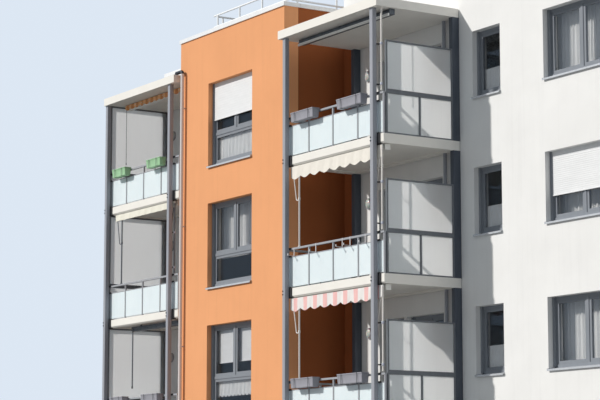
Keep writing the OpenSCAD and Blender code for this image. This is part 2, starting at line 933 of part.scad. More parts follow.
module side_screen_frames() {
    r = side_run_l(right_tower);
    l = side_run_l(left_tower);
    color("slategray")
        for (i = [0:top_floor]) {
            screen_place(right_screen_x, right_tower, i)
                screen_frame(r, screen_top, half_screen_panes(r));
            screen_place(left_screen_x, left_tower, i)
                screen_frame(l, tall_screen_top, tall_screen_panes(l));
        }
}

module side_screen_glass() {
    r = side_run_l(right_tower);
    l = side_run_l(left_tower);
    color("azure")
        for (i = [0:top_floor]) {
            screen_place(right_screen_x, right_tower, i) screen_panes(half_screen_panes(r));
            screen_place(left_screen_x, left_tower, i) screen_panes(tall_screen_panes(l));
        }
}

// Awnings under the slab above: a dark case, a light front bar and a cloth valance.
// An open one has two arms that stand on the handrail, a closed one has a hanging crank rod.
// Each is [tower, storey, depth of the valance, number of scallops, front bar behind the slab
// edge, top of the bar below the slab, arms or rod, place of the rod from the left end].
case_drop = 10;
arm_t = 20;
arm_inset_left = 290;
arm_inset_right = 110;
crank_r = 9;
strut_l = 560;
strut_r = 7;
strut_tip = 12;
valance_t = 6;
// Clearance of the cloth from its bar, and of the arms and rods below the bar
awning_joint = 0.3;
awnings = [
    [right_tower, 3, 0, 0, 200, 100, "rod", 3180],
    [right_tower, 2, 240, 9, 30, 10, "arms", 0],
    [right_tower, 1, 240, 9, 30, 10, "arms", 0],
    [right_tower, 0, 0, 0, 200, 100, "rod", 3180],
    [left_tower, 3, 135, 12, 270, 10, "rod", 20],
    [left_tower, 2, 145, 0, 30, 10, "arms", 0],
    [left_tower, 1, 0, 0, 270, 10, "rod", 480],
    [left_tower, 0, 0, 0, 270, 10, "rod", 480]
];
// Where an awning starts on its tower, and how long it is
function awning_x(a) = a[0][0] + a[0][4][0];
function awning_l(a) = a[0][4][1];
function bar_y(a) = y_front - a[0][2] + a[4] - bar_d / 2;
function bar_top(a) = above_z(a[1]) - a[5];
// Height of the lugs over a case: those behind the rim of a slab reach up into its recess
function lug_h(a) = case_drop + (a[4] > slab_rim_w && a[1] < top_floor ? slab_recess : 0);

module awning_case(a) {
    x = awning_x(a);
    y = bar_y(a) + bar_d;
    z = above_z(a[1]) - case_drop;
    translate([x, y, z - case_h]) cube([awning_l(a), case_d, case_h]);
    for (m = [x + arm_inset_left, x + awning_l(a) - arm_inset_right - arm_w])
        translate([m, y + (case_d - arm_w) / 2, z]) cube([arm_w, arm_w, lug_h(a)]);
}

module awning_cases() {
    color("darkslategray")
        for (a = awnings) awning_case(a);
}

// A thin round rod between two points
module rod(p, q, r) {
    v = q - p;
    translate(p)
        rotate([0, acos(v[2] / norm(v)), atan2(v[1], v[0])])
            cylinder(r = r, h = norm(v));
}

// The front bar with its two arms, or with its crank rod
module awning_front(a) {
    x = awning_x(a);
    l = awning_l(a);
    y = bar_y(a);
    low = bar_top(a) - bar_h;
    translate([x, y, low]) cube([l, bar_d, bar_h]);
    if (a[6] == "arms") {
        foot = floor_z(a[1]) + rail_top;
        for (m = [x + arm_inset_left, x + l - arm_inset_right - arm_w])
            translate([m, y + (bar_d - arm_t) / 2, foot]) cube([arm_w, arm_t, low - awning_joint - foot]);
        rod([x + strut_tip, y + bar_d / 2, low - strut_tip],
            [x + arm_inset_left + strut_r, y + bar_d / 2, low - strut_l], strut_r);
    } else {
        translate([x + a[7], y + bar_d / 2, low - awning_joint - crank_l])
            cylinder(r = crank_r, h = crank_l);
    }
}

module awning_arms() {
    color("gainsboro")
        for (a = awnings) awning_front(a);
}

// A valance is a strip of cloth with round scallops along its lower edge
module valance_2d(l, depth, scallops) {
    if (scallops == 0)
        translate([0, -depth]) square([l, depth]);
    else {
        pitch = l / scallops;
        drop = pitch / 5;
        translate([0, -depth + drop]) square([l, depth - drop]);
        intersection() {
            for (k = [0:scallops - 1])
                translate([(k + 0.5) * pitch, -depth + drop]) scale([1, 2 * drop / pitch]) circle(d = pitch);
            translate([0, -depth]) square([l, depth]);
        }
    }
}

module awning_valances() {
    color("cornsilk")
        for (a = awnings)
            if (a[2] > 0)
                translate([awning_x(a), 0, bar_top(a)])
                    facing(bar_y(a) - awning_joint - valance_t, valance_t)
                        valance_2d(awning_l(a), a[2], a[3]);
}

// Small fittings

lamp_r = 120;
lamp_d = 70;
lamp_z = 1920;
lamp_from = 440;

module wall_lamps() {
    color("lightgray")
        for (i = [0:top_floor], t = towers)
            translate([t[0] + lamp_from, y_front, floor_z(i) + lamp_z])
                rotate([90, 0, 0]) cylinder(r = lamp_r, h = lamp_d);
}

drain_r = 38;
drain_from_right = 420;
drain_wall_gap = 40;
drain_clearance = 2;

// The drain of a tower stands at its wall and passes through every slab
module drain_pipe(t, r) {
    translate([t[0] + t[1] - drain_from_right, y_front - drain_wall_gap - drain_r, 0])
        cylinder(r = r, h = tower_ceiling_z);
}

// A clip holds a pipe to the wall behind it, at the middle line of the pipe
clip_w = 24;
clip_h = 30;
clip_t = 4;
clip_z = 1900;

module pipe_clip(r, gap) {
    translate([-clip_w / 2, 0, 0]) cube([clip_w, r + gap, clip_h]);
    cylinder(r = r + clip_t, h = clip_h);
}

// The pale downpipe of the left tower runs on the front of the bay.
// At its top an elbow and a short stub lead over the roof of the tower.
downpipe_r = 42;
downpipe_from = 221;
downpipe_gap = 40;
elbow_r = 60;
// How far its stub reaches over the roof of the tower
stub_over = 60;

module bay_downpipe() {
    top = tower_top_z + downpipe_r - elbow_r;
    stub = downpipe_from + left_tower_gap - elbow_r + stub_over;
    translate([bay_x0 + downpipe_from, y_bay - downpipe_gap - downpipe_r, 0]) {
        cylinder(r = downpipe_r, h = top);
        translate([-elbow_r, 0, top]) rotate([90, 0, 0])
            rotate_extrude(angle = 90) translate([elbow_r, 0]) circle(r = downpipe_r);
        translate([-elbow_r, 0, top + elbow_r]) rotate([0, -90, 0]) cylinder(r = downpipe_r, h = stub);
        for (i = [0:top_floor])
            translate([0, 0, floor_z(i) + clip_z]) pipe_clip(downpipe_r, downpipe_gap);
    }
}

module drain_pipes() {
    color("slategray")
        for (t = towers) {
            drain_pipe(t, drain_r);
            for (i = [0:top_floor])
                translate([t[0] + t[1] - drain_from_right, y_front - drain_wall_gap - drain_r, floor_z(i) + clip_z])
                    pipe_clip(drain_r, drain_wall_gap);
        }
    color("gainsboro") bay_downpipe();
}

// Planter boxes hang outside the handrail
planter_d = 180;
planter_h = 200;
planter_wall = 12;
planter_top = 880;
planter_out = 8;
hook_w = 25;
hook_t = 5;
hook_drop = 30;
hook_from = 150;
hook_clearance = 0.3;
// How far a hook is let into the wall of its box
hook_root = 9;
// Each is [tower, storey, place from the left end of the slab, length]
planters = [
    [right_tower, 3, 540, 850], [right_tower, 3, 2290, 880],
    [right_tower, 1, 540, 850], [right_tower, 1, 2290, 880],
    [left_tower, 3, 520, 665], [left_tower, 3, 2280, 680],
    [left_tower, 1, 520, 665], [left_tower, 1, 2140, 780]
];

module planter_box(planter_l) {
    taper = 20;
    earth_drop = 30;
    difference() {
        rotate([90, 0, 90]) linear_extrude(planter_l)
            polygon([[taper, 0], [planter_d - taper, 0], [planter_d, planter_h], [0, planter_h]]);
        translate([planter_wall, planter_wall, planter_h - earth_drop])
            cube([planter_l - 2 * planter_wall, planter_d - 2 * planter_wall, earth_drop + 1]);
    }
    for (x = [hook_from, planter_l - hook_from - hook_w])
        translate([x, planter_d, 0]) planter_hook();
}

// A flat steel hook from the back of a planter box over the handrail
module planter_hook() {
    z = planter_h - planter_top + rail_top + hook_clearance;
    over = planter_out + rail_d + hook_clearance;
    rotate([90, 0, 90]) linear_extrude(hook_w)
        polygon([
            [-hook_root, z - hook_drop], [-hook_root, z + hook_t], [over + hook_t, z + hook_t],
            [over + hook_t, z - hook_drop], [over, z - hook_drop], [over, z], [0, z],
            [0, z - hook_drop]
        ]);
}

module planter_boxes() {
    color("dimgray")
        for (p = planters) {
            y = rail_y(p[0]) - rail_d / 2 - planter_out - planter_d;
            translate([p[0][0] + p[2], y, floor_z(p[1]) + planter_top - planter_h]) planter_box(p[3]);
        }
}

ground_slab();
entrance_steps();
first_floor();
second_floor();
third_floor();
roof_slab();
high_roof_deck();
white_front_wall();
orange_corner_wall();
left_recess_wall();
bay_front_wall();
bay_left_wall();
bay_right_wall();
left_end_wall();
right_end_wall();
low_back_wall();
high_back_wall();
roof_step_wall();
copings();
roof_railing();
bay_window_frames();
front_window_frames();
balcony_window_frames();
end_and_back_window_frames();
entrance_door();
window_glass();
window_sills();
roller_blinds();
curtains();
left_tower_masts();
right_tower_masts();
left_balcony_slabs();
right_balcony_slabs();
tower_roofs();
left_railings();
right_railings();
railing_glass();
side_screen_frames();
side_screen_glass();
awning_cases();
awning_arms();
awning_valances();
wall_lamps();
drain_pipes();
planter_boxes();
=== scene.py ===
# %% [markdown]
# An apartment block, dressed around its frame
#
# The block's structure is already built: walls, floors, windows, masts, slabs and railings come in
# as fixed pieces, each at its real place, in metres. This lesson adds what the structure lacks: the
# finish of every surface, cloth that hangs in folds, slatted blinds, bolts, lamps and planters.
# Every step looks at the real thing first, then picks a way to make it.

# %% Load the frame
import math
from collections import namedtuple

import bpy
from mathutils import Matrix, Vector, noise as perlin


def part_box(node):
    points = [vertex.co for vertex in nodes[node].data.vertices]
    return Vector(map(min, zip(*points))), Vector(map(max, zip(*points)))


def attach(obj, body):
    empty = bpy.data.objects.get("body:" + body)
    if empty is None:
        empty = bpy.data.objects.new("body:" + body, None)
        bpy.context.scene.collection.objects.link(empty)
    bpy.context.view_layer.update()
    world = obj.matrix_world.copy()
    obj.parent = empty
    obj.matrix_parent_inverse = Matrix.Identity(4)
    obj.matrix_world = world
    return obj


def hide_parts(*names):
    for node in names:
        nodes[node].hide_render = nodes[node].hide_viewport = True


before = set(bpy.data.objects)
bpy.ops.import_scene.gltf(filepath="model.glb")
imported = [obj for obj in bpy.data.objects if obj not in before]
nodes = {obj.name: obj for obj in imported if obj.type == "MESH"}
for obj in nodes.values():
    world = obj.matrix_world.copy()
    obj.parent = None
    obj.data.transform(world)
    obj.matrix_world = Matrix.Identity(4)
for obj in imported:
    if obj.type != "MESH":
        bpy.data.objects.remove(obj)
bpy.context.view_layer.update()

# %% [markdown]
# The camera
#
# A photograph of a tall house from across the street is taken from low down, with a long lens.
# The camera stands at eye height, 47 metres away, and looks up at the top storeys. Its place, turn
# and lens were worked out from the edges of the bay, the slabs and the windows. A shifted lens
# would keep the uprights straight, but the photograph's own uprights lean a little, so the camera
# is simply tilted.

# %% Place the camera
camera_place = Vector((35.570, -30.729, 1.457))
camera_turn = 0.5672
camera_tilt = math.radians(8.359)
camera_lens = 124.82

look = Vector((
    -math.cos(camera_turn) * math.cos(camera_tilt),
    math.sin(camera_turn) * math.cos(camera_tilt),
    math.sin(camera_tilt),
))
camera_data = bpy.data.cameras.new("camera")
camera_data.lens = camera_lens
camera_data.sensor_width = 36.0
camera_data.sensor_fit = "HORIZONTAL"
camera_data.clip_end = 400.0
camera = bpy.data.objects.new("camera", camera_data)
camera.location = camera_place
camera.rotation_mode = "QUATERNION"
camera.rotation_quaternion = look.to_track_quat("-Z", "Y")
bpy.context.scene.collection.objects.link(camera)
bpy.context.scene.camera = camera
print(f"camera: {camera_place.length:.1f} m from the block, lens {camera_lens} mm")

# %% [markdown]
# Light, air and floor
#
# Late morning sun falls on the street front from the left and draws every slab, sill and railing
# on the wall. One sun lamp does that, with a disc wider than the real sun's so that shadows
# end softly. The sky is an even pale world, which fills the shade. The camera, mirrors and glass
# see a brighter world than the walls do, so the background is pale and the shade stays deep.

# %% Set the view and the lights
scene = bpy.context.scene
scene.view_settings.view_transform = "Standard"

sun_travel = Vector((0.417, 0.739, -0.531))
sun_data = bpy.data.lights.new("sun", "SUN")
sun_data.energy = 3.15
sun_data.angle = math.radians(1.6)
sun_data.color = (1.0, 0.965, 0.915)
sun = bpy.data.objects.new("sun", sun_data)
sun.rotation_mode = "QUATERNION"
sun.rotation_quaternion = sun_travel.to_track_quat("-Z", "Y")
scene.collection.objects.link(sun)

sky = bpy.data.worlds.new("sky")
scene.world = sky
sky.use_nodes = True
sky_tree = sky.node_tree
sky_tree.nodes.clear()
fill_light = sky_tree.nodes.new("ShaderNodeBackground")
fill_light.inputs["Color"].default_value = (0.86, 0.93, 1.0, 1.0)
fill_light.inputs["Strength"].default_value = 0.38
seen_sky = sky_tree.nodes.new("ShaderNodeBackground")
seen_sky.inputs["Color"].default_value = (0.80, 0.89, 1.0, 1.0)
seen_sky.inputs["Strength"].default_value = 0.90
ray = sky_tree.nodes.new("ShaderNodeLightPath")
seen_or_glossy = sky_tree.nodes.new("ShaderNodeMath")
seen_or_glossy.operation = "MAXIMUM"
seen_at_all = sky_tree.nodes.new("ShaderNodeMath")
seen_at_all.operation = "MAXIMUM"
sky_choice = sky_tree.nodes.new("ShaderNodeMixShader")
sky_output = sky_tree.nodes.new("ShaderNodeOutputWorld")
sky_tree.links.new(ray.outputs["Is Camera Ray"], seen_or_glossy.inputs[0])
sky_tree.links.new(ray.outputs["Is Glossy Ray"], seen_or_glossy.inputs[1])
sky_tree.links.new(seen_or_glossy.outputs[0], seen_at_all.inputs[0])
sky_tree.links.new(ray.outputs["Is Transmission Ray"], seen_at_all.inputs[1])
sky_tree.links.new(seen_at_all.outputs[0], sky_choice.inputs[0])
sky_tree.links.new(fill_light.outputs[0], sky_choice.inputs[1])
sky_tree.links.new(seen_sky.outputs[0], sky_choice.inputs[2])
sky_tree.links.new(sky_choice.outputs[0], sky_output.inputs["Surface"])
print("light: one sun and a pale sky")

# %% [markdown]
# Helpers for materials
#
# A finish is built from a few kinds of node: a place on the piece, a noise, a ramp of colours, a
# bump. Each helper below adds one of them to a material and hands back its output, so that a
# finish further on reads like a recipe.

# %% Helpers that start a material
def start_material(name, roughness, metallic=0.0):
    """A new material with its shader's plain values set."""
    material = bpy.data.materials.new(name)
    material.use_nodes = True
    shader = material.node_tree.nodes["Principled BSDF"]
    shader.inputs["Roughness"].default_value = roughness
    shader.inputs["Metallic"].default_value = metallic
    return material, shader


def place_on(material, stretch=(1.0, 1.0, 1.0)):
    """The place on the piece, in metres, stretched along X, Y and Z."""
    tree = material.node_tree
    where = tree.nodes.new("ShaderNodeTexCoord")
    mapping = tree.nodes.new("ShaderNodeMapping")
    mapping.inputs["Scale"].default_value = stretch
    tree.links.new(where.outputs["Object"], mapping.inputs["Vector"])
    return mapping.outputs["Vector"]


print("helpers: start_material, place_on")

# %% Helpers for noise, cells and stripes
def clouds(material, scale, detail=4.0, roughness=0.5, stretch=(1.0, 1.0, 1.0)):
    """Cloudy noise with a given number of clouds a metre."""
    tree = material.node_tree
    node = tree.nodes.new("ShaderNodeTexNoise")
    node.inputs["Scale"].default_value = scale
    node.inputs["Detail"].default_value = detail
    node.inputs["Roughness"].default_value = roughness
    tree.links.new(place_on(material, stretch), node.inputs["Vector"])
    return node.outputs["Fac"]


def cells(material, scale, output="Distance"):
    """Round cells, such as pebbles, with a given number a metre."""
    tree = material.node_tree
    node = tree.nodes.new("ShaderNodeTexVoronoi")
    node.inputs["Scale"].default_value = scale
    tree.links.new(place_on(material), node.inputs["Vector"])
    return node.outputs[output]


def sawtooth(material, axis, pitch, start=0.0):
    """A value that rises from 0 to 1 over each pitch along one axis."""
    tree = material.node_tree
    where = tree.nodes.new("ShaderNodeTexCoord")
    split = tree.nodes.new("ShaderNodeSeparateXYZ")
    tree.links.new(where.outputs["Object"], split.inputs[0])
    shifted = calculate(material, "SUBTRACT", split.outputs[axis], start)
    return calculate(material, "FRACT", calculate(material, "DIVIDE", shifted, pitch))


print("helpers: clouds, cells, sawtooth")

# %% Helpers for arithmetic, ramps and mixes
def calculate(material, operation, first, second=0.0):
    """One step of arithmetic on outputs or plain numbers."""
    tree = material.node_tree
    node = tree.nodes.new("ShaderNodeMath")
    node.operation = operation
    for socket, value in zip(node.inputs, (first, second)):
        if isinstance(value, float):
            socket.default_value = value
        else:
            tree.links.new(value, socket)
    return node.outputs[0]


def ramp(material, factor, stops):
    """Turns a value into a colour along a ramp of (place, colour) stops."""
    tree = material.node_tree
    node = tree.nodes.new("ShaderNodeValToRGB")
    elements = node.color_ramp.elements
    while len(elements) < len(stops):
        elements.new(0.5)
    for element, (place, colour) in zip(elements, stops):
        element.position = place
        element.color = (*colour, 1.0)
    tree.links.new(factor, node.inputs["Fac"])
    return node.outputs["Color"]


def mixed(material, factor, first, second, blend="MIX"):
    """Mixes two colours, each an output or a plain colour."""
    tree = material.node_tree
    node = tree.nodes.new("ShaderNodeMix")
    node.data_type = "RGBA"
    node.blend_type = blend
    for socket, value in ((node.inputs[0], factor), (node.inputs[6], first), (node.inputs[7], second)):
        if isinstance(value, tuple):
            socket.default_value = (*value, 1.0)
        elif isinstance(value, float):
            socket.default_value = value
        else:
            tree.links.new(value, socket)
    return node.outputs[2]


print("helpers: calculate, ramp, mixed")

# %% Helpers for colour, bump, roughness and coats
def colour_from(material, shader, colour):
    """Links a colour to the shader."""
    material.node_tree.links.new(colour, shader.inputs["Base Color"])


def bumped(material, shader, height, distance, under=None):
    """Adds a bump of a given height in metres, over another bump where one is given."""
    tree = material.node_tree
    node = tree.nodes.new("ShaderNodeBump")
    node.inputs["Distance"].default_value = distance
    tree.links.new(height, node.inputs["Height"])
    if under is not None:
        tree.links.new(under, node.inputs["Normal"])
    tree.links.new(node.outputs["Normal"], shader.inputs["Normal"])
    return node.outputs["Normal"]


def rough_from(material, shader, value, low, high):
    """Lets the roughness wander between two values."""
    tree = material.node_tree
    node = tree.nodes.new("ShaderNodeMapRange")
    node.inputs["To Min"].default_value = low
    node.inputs["To Max"].default_value = high
    tree.links.new(value, node.inputs["Value"])
    tree.links.new(node.outputs[0], shader.inputs["Roughness"])


def shade(colour, amount):
    """A colour made darker or lighter by a factor."""
    return tuple(min(1.0, part * amount) for part in colour)


def coat(material, *names):
    """Gives CAD nodes a material."""
    for name in names:
        nodes[name].data.materials.clear()
        nodes[name].data.materials.append(material)
    print(f"{material.name}: {', '.join(names)}")


print("helpers: colour_from, bumped, rough_from, shade, coat")

# %% [markdown]
# Plaster
#
# The walls are insulated and covered with fine through-coloured render, trowelled flat. From the
# street it reads as one clean colour, but it has clouds a metre wide, faint rain streaks that run
# down, and a sandy grain when seen close. One recipe makes both colours: only its colour changes.

# %% Plaster for the white and the orange walls
def plaster(name, colour):
    """Fine render of one colour, with clouds, rain streaks and a sandy grain."""
    material, shader = start_material(name, 0.88)
    shader.inputs["Specular IOR Level"].default_value = 0.10
    broad = clouds(material, 0.9, 5.0, 0.55)
    body = ramp(material, broad, [(0.30, shade(colour, 0.965)), (0.72, shade(colour, 1.03))])
    streaks = clouds(material, 1.0, 5.0, 0.6, (9.0, 9.0, 0.35))
    rain = ramp(material, streaks, [(0.52, (1.0, 1.0, 1.0)), (0.80, (0.90, 0.90, 0.90))])
    washed = mixed(material, 0.45, body, rain, "MULTIPLY")
    grain = clouds(material, 260.0, 3.0, 0.6)
    speckle = ramp(material, grain, [(0.25, (0.93, 0.93, 0.93)), (0.60, (1.0, 1.0, 1.0))])
    colour_from(material, shader, mixed(material, 0.6, washed, speckle, "MULTIPLY"))
    flat = bumped(material, shader, clouds(material, 3.5, 3.0), 0.004)
    bumped(material, shader, grain, 0.0012, flat)
    return material


white_plaster = plaster("white_plaster", (0.87, 0.87, 0.86))
orange_plaster = plaster("orange_plaster", (0.86, 0.405, 0.195))
coat(white_plaster, "white_front_wall", "left_recess_wall", "left_end_wall", "right_end_wall",
     "low_back_wall", "high_back_wall", "roof_step_wall")
coat(orange_plaster, "orange_corner_wall", "bay_front_wall", "bay_left_wall", "bay_right_wall")

# %% [markdown]
# Concrete and gravel
#
# The balcony slabs and the tower roofs are precast concrete with a thin pale paint. Their faces
# have tiny pores and faint marks of the mould; the pores are darkened, which is painted shade with
# the dust that settles in them. The floors inside and the ground slab are bare concrete, greyer and
# more blotched. The flat roofs carry a bed of round gravel, which is made of cells: each pebble has
# its own tone, and the spaces between the pebbles are darkened as painted shade.

# %% Painted concrete, bare concrete and gravel
def concrete(name, colour, blotch, pores):
    """Concrete of one colour. blotch is how far it varies, and pores how strongly its pores are darkened,
    painted shade with dust.
    """
    material, shader = start_material(name, 0.82)
    shader.inputs["Specular IOR Level"].default_value = 0.15
    broad = clouds(material, 1.6, 6.0, 0.6)
    low, high = shade(colour, 1.0 - blotch), shade(colour, 1.0 + blotch)
    body = ramp(material, broad, [(0.32, low), (0.70, high)])
    pore = cells(material, 38.0)
    # The dark pores are painted shade with dust in them.
    pit_shade_and_dust = ramp(material, pore, [(0.05, (0.55, 0.55, 0.55)), (0.13, (1.0, 1.0, 1.0))])
    colour_from(material, shader, mixed(material, pores, body, pit_shade_and_dust, "MULTIPLY"))
    mould = bumped(material, shader, clouds(material, 1.0, 4.0, 0.5, (2.0, 2.0, 14.0)), 0.0015)
    bumped(material, shader, clouds(material, 190.0, 3.0, 0.6), 0.0008, mould)
    return material


balcony_concrete = concrete("balcony_concrete", (0.88, 0.86, 0.81), 0.03, 0.15)
bare_concrete = concrete("bare_concrete", (0.50, 0.49, 0.47), 0.10, 0.45)
coat(balcony_concrete, "left_balcony_slabs", "right_balcony_slabs", "tower_roofs")
coat(bare_concrete, "ground_slab", "first_floor", "second_floor", "third_floor", "entrance_steps")

roofing, roofing_shader = start_material("roof_gravel", 0.9)
pebble_tone = cells(roofing, 22.0, "Color")
pebble_edge = cells(roofing, 22.0)
pebble_greys = [(0.2, (0.30, 0.29, 0.27)), (0.5, (0.46, 0.44, 0.41)), (0.8, (0.62, 0.60, 0.57))]
tone = ramp(roofing, pebble_tone, pebble_greys)
# The darkened edges of the pebbles are painted shade between them.
gap_painted_shade = ramp(roofing, pebble_edge, [(0.35, (1.0, 1.0, 1.0)), (0.75, (0.38, 0.37, 0.35))])
lichen = ramp(roofing, clouds(roofing, 0.7, 5.0, 0.6), [(0.40, (1.0, 1.0, 1.0)), (0.75, (0.80, 0.82, 0.74))])
bed = mixed(roofing, 1.0, tone, gap_painted_shade, "MULTIPLY")
colour_from(roofing, roofing_shader, mixed(roofing, 1.0, bed, lichen, "MULTIPLY"))
hollow = calculate(roofing, "SUBTRACT", 1.0, pebble_edge)
bumped(roofing, roofing_shader, hollow, 0.018)
coat(roofing, "roof_slab", "high_roof_deck")

# %% [markdown]
# Painted metal
#
# Windows, masts, railings and awning cases share one family of paint: grey with fine flakes. In the
# sun it is a pale grey-blue, and in the shade it is nearly black. A fully metallic base would mirror
# the pale sky in the shade and turn dark in the sun, so most of these paints hold little or no metal
# and have a small highlight. Fine cells make the flakes, a little dust lies in the upper clouds, and
# the roughness wanders.

# %% Metal-flake paint, light sheet metal and zinc
def flake_paint(name, colour, metallic, roughness, dust=0.10):
    """Paint with fine flakes and a little dust."""
    material, shader = start_material(name, roughness, metallic)
    shader.inputs["Specular IOR Level"].default_value = 0.15
    flakes = cells(material, 420.0, "Color")
    sparkle = ramp(material, flakes, [(0.0, shade(colour, 0.85)), (1.0, shade(colour, 1.2))])
    veil = clouds(material, 1.0, 5.0, 0.6, (7.0, 7.0, 1.2))
    dusty = ramp(material, veil, [(0.42, (0.0, 0.0, 0.0)), (0.78, (dust, dust, dust))])
    colour_from(material, shader, mixed(material, 1.0, sparkle, dusty, "ADD"))
    rough_from(material, shader, veil, roughness - 0.07, roughness + 0.12)
    bumped(material, shader, clouds(material, 30.0, 2.0), 0.0004)
    return material


window_paint = flake_paint("window_paint", (0.235, 0.255, 0.285), 0.0, 0.45, 0.02)
mast_paint = flake_paint("mast_paint", (0.33, 0.345, 0.385), 0.0, 0.50, 0.03)
rail_paint = flake_paint("railing_paint", (0.36, 0.375, 0.405), 0.0, 0.46, 0.04)
case_paint = flake_paint("case_paint", (0.09, 0.105, 0.125), 0.35, 0.42)
coping_paint = flake_paint("coping_paint", (0.80, 0.81, 0.82), 0.10, 0.42, 0.03)
sill_paint = flake_paint("sill_paint", (0.50, 0.52, 0.55), 0.35, 0.40, 0.06)
zinc = flake_paint("zinc", (0.82, 0.83, 0.84), 0.20, 0.40, 0.04)
pale_pipe = flake_paint("pale_pipe", (0.74, 0.68, 0.66), 0.0, 0.50, 0.03)
dark_steel = flake_paint("dark_steel", (0.035, 0.04, 0.05), 0.60, 0.40, 0.02)
coat(window_paint, "bay_window_frames", "front_window_frames", "balcony_window_frames",
     "end_and_back_window_frames", "entrance_door")
coat(mast_paint, "left_tower_masts", "right_tower_masts", "drain_pipes")
coat(rail_paint, "left_railings", "right_railings", "side_screen_frames")
coat(case_paint, "awning_cases")
coat(coping_paint, "copings")
coat(sill_paint, "window_sills")
coat(zinc, "roof_railing")

# %% [markdown]
# Glass
#
# There are two kinds. Windows are clear double glazing: against dark rooms they look dark, with a
# pale reflection of the sky. The railings and side screens are frosted, as milky as thin ice. The
# sun shines on one side of a screen, and the other side glows, with the shadow of the slab on it.
# Subsurface scattering does just that in a closed pane, where a plain see-through value wouldn't.
# The screens are given a higher index and a blue tint, a painted reflection that makes them mirror more, and
# bluer, sky than the railings do.

# %% Clear glass and frosted glass
clear_glass, clear_shader = start_material("clear_glass", 0.03)
clear_shader.inputs["Alpha"].default_value = 0.10
clear_shader.inputs["IOR"].default_value = 2.9
# The blue specular tint is a painted reflection: it makes the reflected sky bluer than the world is.
clear_shader.inputs["Specular Tint"].default_value = (0.62, 0.79, 1.0, 1.0)
smears = clouds(clear_glass, 1.2, 4.0, 0.55, (1.0, 1.0, 0.5))
smear_tones = [(0.3, (0.030, 0.036, 0.042)), (0.8, (0.050, 0.058, 0.066))]
colour_from(clear_glass, clear_shader, ramp(clear_glass, smears, smear_tones))
bumped(clear_glass, clear_shader, clouds(clear_glass, 0.8, 1.0), 0.004)


def frosted(name, colour, depth):
    """Milky glass. depth is how far the light spreads inside it, in metres."""
    material, shader = start_material(name, 0.30)
    shader.inputs["Subsurface Weight"].default_value = 1.0
    shader.inputs["Subsurface Radius"].default_value = (1.0, 1.0, 1.0)
    shader.inputs["Subsurface Scale"].default_value = depth
    veil = clouds(material, 1.4, 4.0, 0.55, (1.0, 1.0, 0.6))
    body = ramp(material, veil, [(0.3, shade(colour, 0.965)), (0.75, shade(colour, 1.02))])
    drips = clouds(material, 1.0, 4.0, 0.6, (16.0, 16.0, 0.8))
    marks = ramp(material, drips, [(0.55, (1.0, 1.0, 1.0)), (0.85, (0.90, 0.91, 0.90))])
    colour_from(material, shader, mixed(material, 0.5, body, marks, "MULTIPLY"))
    bumped(material, shader, clouds(material, 420.0, 2.0, 0.6), 0.0004)
    return material


front_frost = frosted("front_frosted_glass", (0.80, 0.885, 0.92), 0.003)
side_frost = frosted("side_frosted_glass", (0.93, 0.985, 1.0), 0.30)
screen_shader = side_frost.node_tree.nodes["Principled BSDF"]
# The raised index and the blue tint are a painted reflection of the sky.
screen_shader.inputs["IOR"].default_value = 2.8
screen_shader.inputs["Specular Tint"].default_value = (0.80, 0.92, 1.0, 1.0)
coat(clear_glass, "window_glass")
coat(front_frost, "railing_glass")
coat(side_frost, "side_screen_glass")

# %% [markdown]
# Two finishes on one node
#
# The drain node holds two dark drains and one pale downpipe with a dark elbow. Each face of a mesh
# can have its own material, so the faces of the downpipe are picked by their place and given the
# pale one. The mesh itself stays as it is.

# %% Paint the downpipe pale
def second_coat(name, material, test):
    """Gives some faces of a CAD node, picked by a test, another material."""
    mesh = nodes[name].data
    mesh.materials.append(material)
    picked = [face for face in mesh.polygons if test(face)]
    for face in picked:
        face.material_index = len(mesh.materials) - 1
    print(f"{name}: {material.name} on {len(picked)} faces")


bay_low, bay_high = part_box("bay_front_wall")
roof_low, roof_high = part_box("tower_roofs")
elbow_height = 0.075
elbow_start = roof_high.z - elbow_height
second_coat("drain_pipes", pale_pipe, lambda face: face.center.y < bay_low.y)
second_coat("drain_pipes", dark_steel,
            lambda face: face.center.y < bay_low.y and face.center.z > elbow_start)

# %% [markdown]
# Rooms, floors and the recess
#
# The rooms are painted a dark grey, a painted shade so that the windows look into shade, and the
# balcony floors have a worn grey coating. The faces that look into the rooms are found by their
# direction. The two orange walls beside the right tower get a deeper orange, which is painted shade
# for the recess.

# %% Paint the rooms, the balcony floors and the recess
def facing(direction, under):
    """A test for the faces that look in a direction and lie under a height."""
    return lambda face: face.normal.dot(direction) > 0.9 and face.center.z < under


# The dark grey of the rooms is painted shade, which keeps the windows dark.
room_painted_shade = plaster("room_painted_shade", (0.30, 0.29, 0.275))
floor_coating = concrete("floor_coating", (0.34, 0.335, 0.325), 0.08, 0.3)
into_the_room = {
    "white_front_wall": Vector((0, 1, 0)), "left_recess_wall": Vector((0, 1, 0)),
    "orange_corner_wall": Vector((0, 1, 0)), "bay_front_wall": Vector((0, 1, 0)),
    "bay_left_wall": Vector((1, 0, 0)), "bay_right_wall": Vector((-1, 0, 0)),
    "left_end_wall": Vector((1, 0, 0)), "right_end_wall": Vector((-1, 0, 0)),
    "low_back_wall": Vector((0, -1, 0)), "high_back_wall": Vector((0, -1, 0)),
}
for name, inward in into_the_room.items():
    second_coat(name, room_painted_shade, facing(inward, roof_high.z))
for name in ("left_balcony_slabs", "right_balcony_slabs"):
    second_coat(name, floor_coating, facing(Vector((0, 0, 1)), roof_high.z))
# The deeper orange on the two recess walls is painted shade.
recess_painted_shade = plaster("recess_painted_shade", (0.36, 0.11, 0.038))
second_coat("bay_right_wall", recess_painted_shade, facing(Vector((1, 0, 0)), roof_low.z))
second_coat("orange_corner_wall", recess_painted_shade, facing(Vector((0, -1, 0)), roof_low.z))

# %% [markdown]
# Helpers for modelling
#
# Many nodes hold several solids, such as eight planters. Everything that is added to them takes its
# place from them, so the first helper finds the box of each separate solid. The others do what a
# hand does in the editor: add a box, pick faces, bevel, copy and join. A finished piece sits at the
# origin with its place in its mesh.

